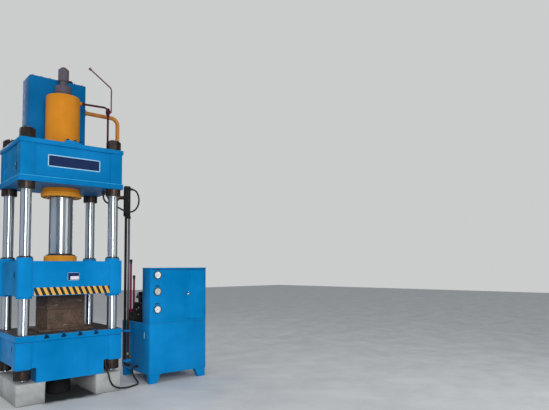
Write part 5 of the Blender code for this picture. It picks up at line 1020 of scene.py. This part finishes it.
TEE_X, TEE_Y, RISER_X, RISER_Y = 0.588, -0.085, 1.023, 0.148
unions = [(union, PORT + port_out * 0.0005, PORT + port_out * 0.036, 0.024)]
for side in (-1, 1):
    reach = (TEE_X, TEE_Y, 3.80 + side * 0.0262), (TEE_X, TEE_Y, 3.80 + side * 0.052)
    unions.append((union, *reach, 0.0225))
unions.append((union, (TEE_X, TEE_Y, 3.2005), (TEE_X, TEE_Y, 3.232), 0.023))
build("pressure_unions", red_oxide, "red_oxide", *unions)
build(
    "riser_unions", machine_black, "black_paint",
    (union, (RISER_X, RISER_Y, 2.3685), (RISER_X, RISER_Y, 2.335), 0.0255),
    (union, (0.985, 0.17, 0.300), (0.985, 0.17, 0.262), 0.0275),
)
build(
    "riser_brass_unions", brass, "zinc",
    (union, (1.059, RISER_Y, 0.300), (1.036, RISER_Y, 0.300), 0.0245),
    (union, (RISER_X, RISER_Y, 0.335), (RISER_X, RISER_Y, 0.372), 0.0245),
)
corners = [(TEE_X + x, TEE_Y + y, 3.2003) for x in (-0.028, 0.028) for y in (-0.028, 0.028)]
screws("pressure_flange", cap_screw, corners, UP, 0.0065)
screws("return_flange", cap_screw, round_places(6, 0.0378, (0.4103, 0.30, 3.845), RIGHT), RIGHT, 0.0055)
build("return_union", orange, "orange_paint", (union, (0.999, 0.2093, 2.66), (0.999, 0.236, 2.66), 0.042))
print("unions: 9, flange screws: 10")

# %% [markdown]
# The riser's head is where the pipes end and the hoses begin. The photograph shows a dark, straight-sided
# shape a few pixels wide, and no screw or plug can be made out on it. Its details are a guess: such a head
# is often a drilled block, with plugs in its drillings and a screwed cover. A casting would do the same job,
# but it would need rounded walls, and the frame's solid is a plain block.

# %% Riser's head
low, high = Vector((0.957, 0.131, 2.37)), Vector((1.041, 0.209, 2.81))
spots = [(x, low.y, z) for x in (low.x + 0.014, high.x - 0.014) for z in (2.395, 2.535, 2.665, 2.785)]
screws("riser_head", cap_screw, spots, FRONT, 0.006)
plugs = []
for z in (2.465, 2.60, 2.725):
    plugs.append((bar, (0.999, low.y + SINK, z), (0.999, low.y - 0.012, z), 0.014, 6))
    plugs.append((bar, (0.999, low.y - 0.011, z), (0.999, low.y - 0.014, z), 0.0105, 20))
build("riser_head_plugs", bolt_black, "black_oxide", *plugs)
cover_low = low.x + 0.006, low.y + 0.006, high.z - SINK
cover_high = high.x - 0.006, high.y - 0.006, high.z + 0.008
build("riser_head_cover", machine_black, "black_paint", (block, cover_low, cover_high, 0.002))
columns, rows = (low.x + 0.016, high.x - 0.016), (low.y + 0.016, high.y - 0.016)
screws("riser_cover", cap_screw, [(x, y, high.z + 0.008) for x in columns for y in rows], UP, 0.005)
print("riser's head has 8 screws, 3 plugs and a cover")

# %% [markdown]
# The valve block carries upright solenoid valves. Each coil has a square plug on its side, and a steel
# conduit takes the wires from the plugs into the cabinet's back. Conduit is stiff, so it is modelled as a
# fixed pipe: a chain of short bars round a quarter circle would do, but a spun ring section is smoother.

# %% Valve block
def elbow(shape, centre, arm, axis, bend, radius, angle=pi / 2, steps=10):
    """A pipe bend: a ring of vertices spun about a centre, starting at an arm from it."""
    centre, arm, axis = Vector(centre), Vector(arm).normalized(), Vector(axis).normalized()
    stand = Matrix.Translation(centre + arm * bend) @ facing(axis.cross(arm))
    made = bmesh.ops.create_circle(shape, cap_ends=False, segments=16, radius=radius, matrix=stand)["verts"]
    edges = list({e for v in made for e in v.link_edges})
    bmesh.ops.spin(shape, geom=made + edges, cent=centre, axis=axis, angle=angle, steps=steps)


VALVE_LEFT, VALVE_RIGHT, VALVE_TOP = 1.09, 1.23, 1.1003
CONDUIT, CONDUIT_BEND = 0.0055, 0.030
coil_x = (VALVE_LEFT + VALVE_RIGHT) / 2
wire_x, plug_z = coil_x - 0.048, VALVE_TOP + 0.075
plug_top = plug_z + 0.030
level_z = plug_top + CONDUIT_BEND
plugs, caps, conduit = [], [], []
for step in range(3):
    y = -0.16 + 0.26 * (step + 1) / 4
    socket = (coil_x - 0.062, y - 0.014, plug_z - 0.016), (coil_x - 0.030, y + 0.014, plug_z + 0.014)
    plugs.append((block, *socket, 0.003))
    plugs.append((bar, (wire_x, y, plug_z + 0.010), (wire_x, y, plug_top), 0.009, 16))
    caps.append((bar, (coil_x, y, VALVE_TOP + 0.1496), (coil_x, y, VALVE_TOP + 0.158), 0.018, 6))
    bend_at = wire_x, y - CONDUIT_BEND, plug_top
    conduit.append((elbow, bend_at, BACK, LEFT, CONDUIT_BEND, CONDUIT, -pi / 2))
    reach = (wire_x, y - CONDUIT_BEND, level_z), (wire_x, BACK_FACE + 0.004, level_z)
    conduit.append((bar, *reach, CONDUIT, 16))
build("solenoid_plugs", relay_dark, "black_paint", *plugs)
build("solenoid_caps", zinc, "zinc", *caps)
build("solenoid_conduit", machine_black, "black_paint", *conduit)
faces = [(VALVE_LEFT, y, z) for y in (-0.12, 0.06) for z in (0.86, 1.06)]
screws("valve_block", cap_screw, faces, LEFT, 0.007)
plugs = []
for y, z in ((-0.06, 0.93), (0.0, 1.0), (-0.07, 1.03)):
    plugs.append((bar, (VALVE_LEFT + SINK, y, z), (VALVE_LEFT - 0.010, y, z), 0.013, 6))
build("valve_block_plugs", zinc, "zinc", *plugs)
cap = [
    (0, 0.001), (0.0175, 0.001), (0.0196, -0.001), (0.0196, -0.034), (0.0165, -0.036), (0.0165, -0.062),
    (0.0148, -0.064),
]
tops = (1.125, 0.285, 1.7303), (1.162, 0.256, 1.4903)
build("service_pipe_caps", machine_black, "black_paint", *((lathe, cap, Vector(at), UP, 40) for at in tops))
print("valve block dressed: 3 coils, 3 plugs, 2 capped pipes")

# %% [markdown]
# The motor has a pressed cover over its fan, bolted end bells, an eye to lift it by and a box for its wires.
# Nothing of this can be seen from the front, but it is the first thing one sees from behind. A plain
# cylinder would pass for a drum, and it is these small things that say motor.

# %% Motor
MOTOR = Vector((1.46, 0, 1.0053))
cowl = [
    (0, 0.0490), (0.095, 0.0490), (0.112, 0.040), (0.1225, 0.022), (0.1225, -0.020), (0.1205, -0.020),
    (0.1205, 0.021), (0.110, 0.038), (0.094, 0.0470), (0, 0.0470),
]
cowl_at = Vector((MOTOR.x, -0.185, MOTOR.z))
build("fan_cowl", machine_black, "black_paint", (lathe, cowl, cowl_at, FRONT, 72), sharp=25.0)
rings = []
for ring in range(4):
    inner = 0.030 + ring * 0.018
    outer = inner + 0.006
    wire = [(inner, 0.0485), (outer, 0.0485), (outer, 0.0505), (inner, 0.0505), (inner, 0.0485)]
    rings.append((lathe, wire, cowl_at, FRONT, 48))
build("fan_guard", zinc, "zinc", *rings)
screws("motor_bell", hex_screw, round_places(6, 0.098, (MOTOR.x, 0.10, MOTOR.z), BACK), BACK, 0.007)
lid = (MOTOR.x - 0.048, -0.122, MOTOR.z + 0.171), (MOTOR.x + 0.048, -0.018, MOTOR.z + 0.181)
cable_gland = (MOTOR.x + 0.045, -0.07, MOTOR.z + 0.145), (MOTOR.x + 0.066, -0.07, MOTOR.z + 0.145)
build("terminal_lid", machine_black, "black_paint", (block, *lid, 0.003), (bar, *cable_gland, 0.013, 6))
spots = [(x, y, lid[1][2]) for x in (MOTOR.x - 0.04, MOTOR.x + 0.04) for y in (-0.114, -0.026)]
screws("terminal_lid", cap_screw, spots, UP, 0.004)
eye = Vector((MOTOR.x, 0.045, MOTOR.z + 0.158))
shank = (bar, (eye.x, eye.y, MOTOR.z + 0.125), (eye.x, eye.y, eye.z - 0.018), 0.010, 20)
halves = [(elbow, eye, start, BACK, 0.020, 0.006, pi, 20) for start in (RIGHT, LEFT)]
build("motor_eye", zinc, "zinc", shank, *halves)
print("motor has a cowl, a guard, an eye and 10 screws")

# %% [markdown]
# The pump is screwed to the motor's bracket, and its pressure line leads to the valve block: up, over, down
# and in. The line could be one curve, but bent steel pipe is straight between its bends, so it is made of
# bars and elbows that meet.

# %% Pump
pump_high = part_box("pump")[1]
around = round_places(8, 0.0955, (MOTOR.x, 0.244, MOTOR.z), BACK, 0.5)
screws("pump_flange", cap_screw, around, BACK, 0.0065)
screws("pump_back", cap_screw, round_places(8, 0.068, (MOTOR.x, pump_high.y, MOTOR.z), BACK), BACK, 0.0065)
PUMP_PORT = Vector((MOTOR.x, 0.304, pump_high.z))
VALVE_PORT = Vector((1.2262, PUMP_PORT.y, 0.90))
LINE, LINE_BEND, DOWN_X = 0.011, 0.035, 1.305


def on_line(x, z):
    """A point of the pressure line, which stays in one upright plane."""
    return x, PUMP_PORT.y, z


over, down = PUMP_PORT.x - LINE_BEND, DOWN_X + LINE_BEND
rise, sweep = PUMP_PORT.z + 0.050, VALVE_PORT.z + LINE_BEND
build(
    "pump_pressure_pipe", pipe_grey, "grey_paint",
    (bar, PUMP_PORT - Vector((0, 0, SINK)), on_line(PUMP_PORT.x, rise), LINE, 16),
    (elbow, on_line(over, rise), RIGHT, FRONT, LINE_BEND, LINE),
    (bar, on_line(over, rise + LINE_BEND), on_line(down, rise + LINE_BEND), LINE, 16),
    (elbow, on_line(down, rise), UP, FRONT, LINE_BEND, LINE),
    (bar, on_line(DOWN_X, rise), on_line(DOWN_X, sweep), LINE, 16),
    (elbow, on_line(DOWN_X - LINE_BEND, sweep), RIGHT, BACK, LINE_BEND, LINE),
    (bar, on_line(DOWN_X - LINE_BEND, VALVE_PORT.z), VALVE_PORT, LINE, 16),
)
build(
    "pump_unions", zinc, "zinc",
    (union, PUMP_PORT, PUMP_PORT + Vector((0, 0, 0.028)), 0.020),
    (union, VALVE_PORT, on_line(1.252, VALVE_PORT.z), 0.019),
)
print("pump dressed, its line rises to", round(rise + LINE_BEND, 3), "m")

# %% [markdown]
# The oil tank has a sight glass on its side and a ribbed filler cap on its lid. The glass is clear with oil
# in its lower part. It could be drawn on the tank as a stripe, but a tube stands proud and catches light.

# %% Oil tank's fittings
oil = sheet_metal("hydraulic_oil", (0.50, 0.26, 0.03), rough=0.15)
GLASS_Y, GLASS_LOW, GLASS_HIGH, TANK_SIDE = -0.3285, 0.592, 0.718, 1.06


def from_side(out, z):
    """A point beside the sight glass's axis, so far out of the tank's side."""
    return TANK_SIDE - out, GLASS_Y, z


back_low, back_high = (TANK_SIDE - 0.004, GLASS_Y - 0.014), (TANK_SIDE + SINK, GLASS_Y + 0.014)
holders = [(block, (*back_low, GLASS_LOW), (*back_high, GLASS_HIGH), 0.001)]
for z in (GLASS_LOW + 0.012, GLASS_HIGH - 0.012):
    holders.append((bar, from_side(0, z), from_side(0.016, z), 0.011, 6))
    holders.append((bar, from_side(0, z), from_side(0.019, z), 0.0085, 20))
build("sight_glass_ends", tank_blue, "blue_paint", *holders)
tube_foot, tube_top = from_side(0.011, GLASS_LOW + 0.012), from_side(0.011, GLASS_HIGH - 0.012)
sight_glass = clear_glass("sight_glass", (0.22, 0.50, 0.66), 0.70)
build("sight_glass_tube", sight_glass, "dial", (bar, tube_foot, tube_top, 0.0062, 20))
oil_top = from_side(0.011, GLASS_LOW + 0.072)
build("sight_glass_oil", oil, "orange_paint", (bar, tube_foot, oil_top, 0.0052, 20))

filler = Vector((1.83, 0.30, 0.8796))
cap = [
    (0, 0.018), (0.038, 0.018), (0.041, 0.015), (0.041, -0.016), (0.0385, -0.016), (0.0385, -0.0002),
    (0, -0.0002),
]
feet = round_places(18, 0.0405, filler + Vector((0, 0, -0.014)), UP)
ribs = [(bar, spot, spot + Vector((0, 0, 0.027)), 0.0026, 8) for spot in feet]
build("filler_cap", machine_black, "black_paint", (lathe, cap, filler, UP, 48), *ribs)
print("oil tank has a sight glass and a cap with", len(ribs), "ribs")

# %% [markdown]
# The filling tank feeds the cylinder through the prefill valve. Its bolted lid carries a breather, since air
# has to follow the oil. The lid's screws go round its edge at even steps, as they would to press a gasket,
# and the lock plate and the valve are screwed down too.

# %% Top of the press
low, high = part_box("filling_tank")
LID_INSET = 0.045
left, right_end = low.x + LID_INSET, high.x - LID_INSET
near, far = low.y + LID_INSET, high.y - LID_INSET
spots = [(left + (right_end - left) * i / 6, y, high.z) for i in range(7) for y in (near, far)]
spots += [(x, near + (far - near) * i / 3, high.z) for i in (1, 2) for x in (left, right_end)]
screws("filling_tank_lid", hex_screw, spots, UP, 0.0085)
breather = [
    (0, 0.075), (0.030, 0.075), (0.040, 0.066), (0.042, 0.040), (0.036, 0.034), (0.018, 0.032),
    (0.018, 0.012), (0.028, 0.010), (0.028, -SINK), (0, -SINK),
]
breather_at = Vector((high.x - 0.17, (low.y + high.y) / 2, high.z))
build("breather", machine_black, "black_paint", (lathe, breather, breather_at, UP, 48))
spots = [(0.2425 * cos(a), 0.2425 * sin(a), 3.2703) for a in map(radians, (-92, -68, -44, -20))]
screws("lock_plate", hex_screw, spots, UP, 0.0195)
valve_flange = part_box("prefill_valve_body")[1].z - 0.07
screws("prefill", cap_screw, round_places(8, 0.080, (0, 0, valve_flange), UP), UP, 0.010)
cap_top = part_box("prefill_valve_cap")[1].z
plug = bar, (0, 0, cap_top - SINK), (0, 0, cap_top + 0.010), 0.020, 6
build("prefill_cap_plug", valve_grey, "grey_paint", plug)
paint_node("ejector_rod", chrome)
print("top of the press has 30 screws and a breather")

# %% [markdown]
# The press stands on a plain pale floor, with a dark patch under it between the piers that is painted shade.
# A picture of concrete could be laid on it, but that would need a file, and it would draw the eye from the
# press, so noise makes its few tones. The floor belongs to the stage and isn't part of the object.

# %% Floor
def make_floor():
    """A wide pale floor, just under the lowest face of the press."""
    shape = bmesh.new()
    bmesh.ops.create_grid(shape, x_segments=1, y_segments=1, size=30.0)
    mesh = bpy.data.meshes.new("floor")
    shape.to_mesh(mesh)
    shape.free()
    ground = Finish("pale_floor")
    clouds = ground.ranged(ground.noise(1.4, 6.0, 0.6), 0.3, 0.7)
    tone = ground.mixed(clouds, (0.46, 0.475, 0.48), (0.53, 0.54, 0.54))
    ragged = ground.ranged(ground.noise(6.0, 4.0), 0.3, 0.7, -0.03, 0.03)
    # A dark patch under the press, between the piers, is painted shade.
    inside = []
    for axis, near, far in ((0, 0.30, 0.38), (1, 0.48, 0.60)):
        reach = ground.maths("ADD", ground.maths("ABSOLUTE", ground.along(axis)), ragged)
        inside.append(ground.ranged(reach, near, far, 1.0, 0.0))
    tone = ground.mixed(ground.maths("MULTIPLY", *inside), tone, (0.035, 0.040, 0.040))
    mesh.materials.append(ground.done(tone, ground.ranged(ground.noise(3.0, 4.0), 0.3, 0.7, 0.45, 0.65)))
    floor = bpy.data.objects.new("floor", mesh)
    floor.location.z = -0.0005
    scene.collection.objects.link(floor)
    floor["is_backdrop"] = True


make_floor()
print("floor laid")

# %% [markdown]
# Bare chrome only mirrors the room round it, and in an even pale room it would look flat. So the sky is even
# for all other rays, but glossy rays see upright bands in it, pale, blue and dark, as the black flags of a
# photo studio do. The camera sees a third, plain tone. A picture of a room would need a file.

# %% Sky
PALE, PALE_BLUE, GREY_GREEN = (0.50, 0.54, 0.58, 1), (0.46, 0.55, 0.66, 1), (0.34, 0.38, 0.37, 1)
DARK_BLUE, DARK = (0.05, 0.08, 0.20, 1), (0.040, 0.045, 0.050, 1)
SKY_BANDS = [
    (0.08, PALE), (0.10, DARK_BLUE), (0.15, DARK_BLUE), (0.18, PALE_BLUE), (0.36, PALE_BLUE), (0.40, DARK),
    (0.75, DARK), (0.79, GREY_GREEN), (0.97, GREY_GREEN),
]


def make_sky():
    """An even pale sky, with bands that only mirrors see."""
    scene.world = bpy.data.worlds.new("studio")
    sky = Wiring(scene.world)
    axes = sky.add("SeparateXYZ", {0: sky.add("TexCoord", {}).outputs["Generated"]}).outputs
    angle = sky.add("Math", {0: axes[0], 1: axes[1]}, operation="ARCTAN2").outputs[0]
    share = sky.add("MapRange", {"Value": angle, "From Min": -pi, "From Max": pi}).outputs[0]
    bands = sky.add("ValToRGB", {0: share})
    ramp = bands.color_ramp.elements
    ramp[0].position, ramp[0].color = 0.0, PALE
    ramp[1].position, ramp[1].color = 1.0, PALE
    for position, colour in SKY_BANDS:
        ramp.new(position).color = colour
    ray = sky.add("LightPath", {}).outputs
    seen = (0.62, 0.64, 0.66, 1)
    for kind, tone in (("Is Glossy Ray", bands.outputs[0]), ("Is Camera Ray", (0.60, 0.61, 0.61, 1))):
        seen = sky.add("Mix", {0: ray[kind], 6: seen, 7: tone}, data_type="RGBA").outputs[2]
    sky.links.new(seen, sky.nodes["Background"].inputs["Color"])
    sky.nodes["Background"].inputs["Strength"].default_value = 1.0


make_sky()
print("sky bands:", len(SKY_BANDS))

# %% [markdown]
# Soft light reaches the press from the front, so the main lamp is tall and stands far away and low. Weaker
# ones fill in from the right, the left and behind. A sun would be simpler, but the edges of its shadows are
# hard. The left lamp is hidden from mirrors, or it would show as a square in the chrome.

# %% Lamps
def make_lamp(name, place, aim, size, power, glossy=True):
    """A rectangular lamp that looks at a point."""
    lamp = bpy.data.lights.new(name, "AREA")
    lamp.shape = "RECTANGLE"
    lamp.size, lamp.size_y = size
    lamp.energy = power
    holder = bpy.data.objects.new(name, lamp)
    holder.location = place
    holder.rotation_mode = "QUATERNION"
    holder.rotation_quaternion = (Vector(aim) - Vector(place)).to_track_quat("-Z", "Y")
    holder.visible_glossy = glossy
    scene.collection.objects.link(holder)


make_lamp("key", (-2.8, -11.5, 3.6), (0.5, 0, 1.8), (2.6, 4.5), 950)
make_lamp("fill", (5.0, -6.0, 3.5), (0.6, 0, 1.8), (3.0, 4.0), 60)
make_lamp("left", (-7.0, -2.5, 3.0), (0.0, 0, 2.0), (3.0, 3.0), 170, glossy=False)
make_lamp("back", (0.0, 6.5, 6.5), (0.4, 0, 2.0), (4.0, 4.0), 120)
print("lamps: 4")

# %% [markdown]
# The last cell measures the outer size of the dressed scene, without the floor.

# %% Outer size
low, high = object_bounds()
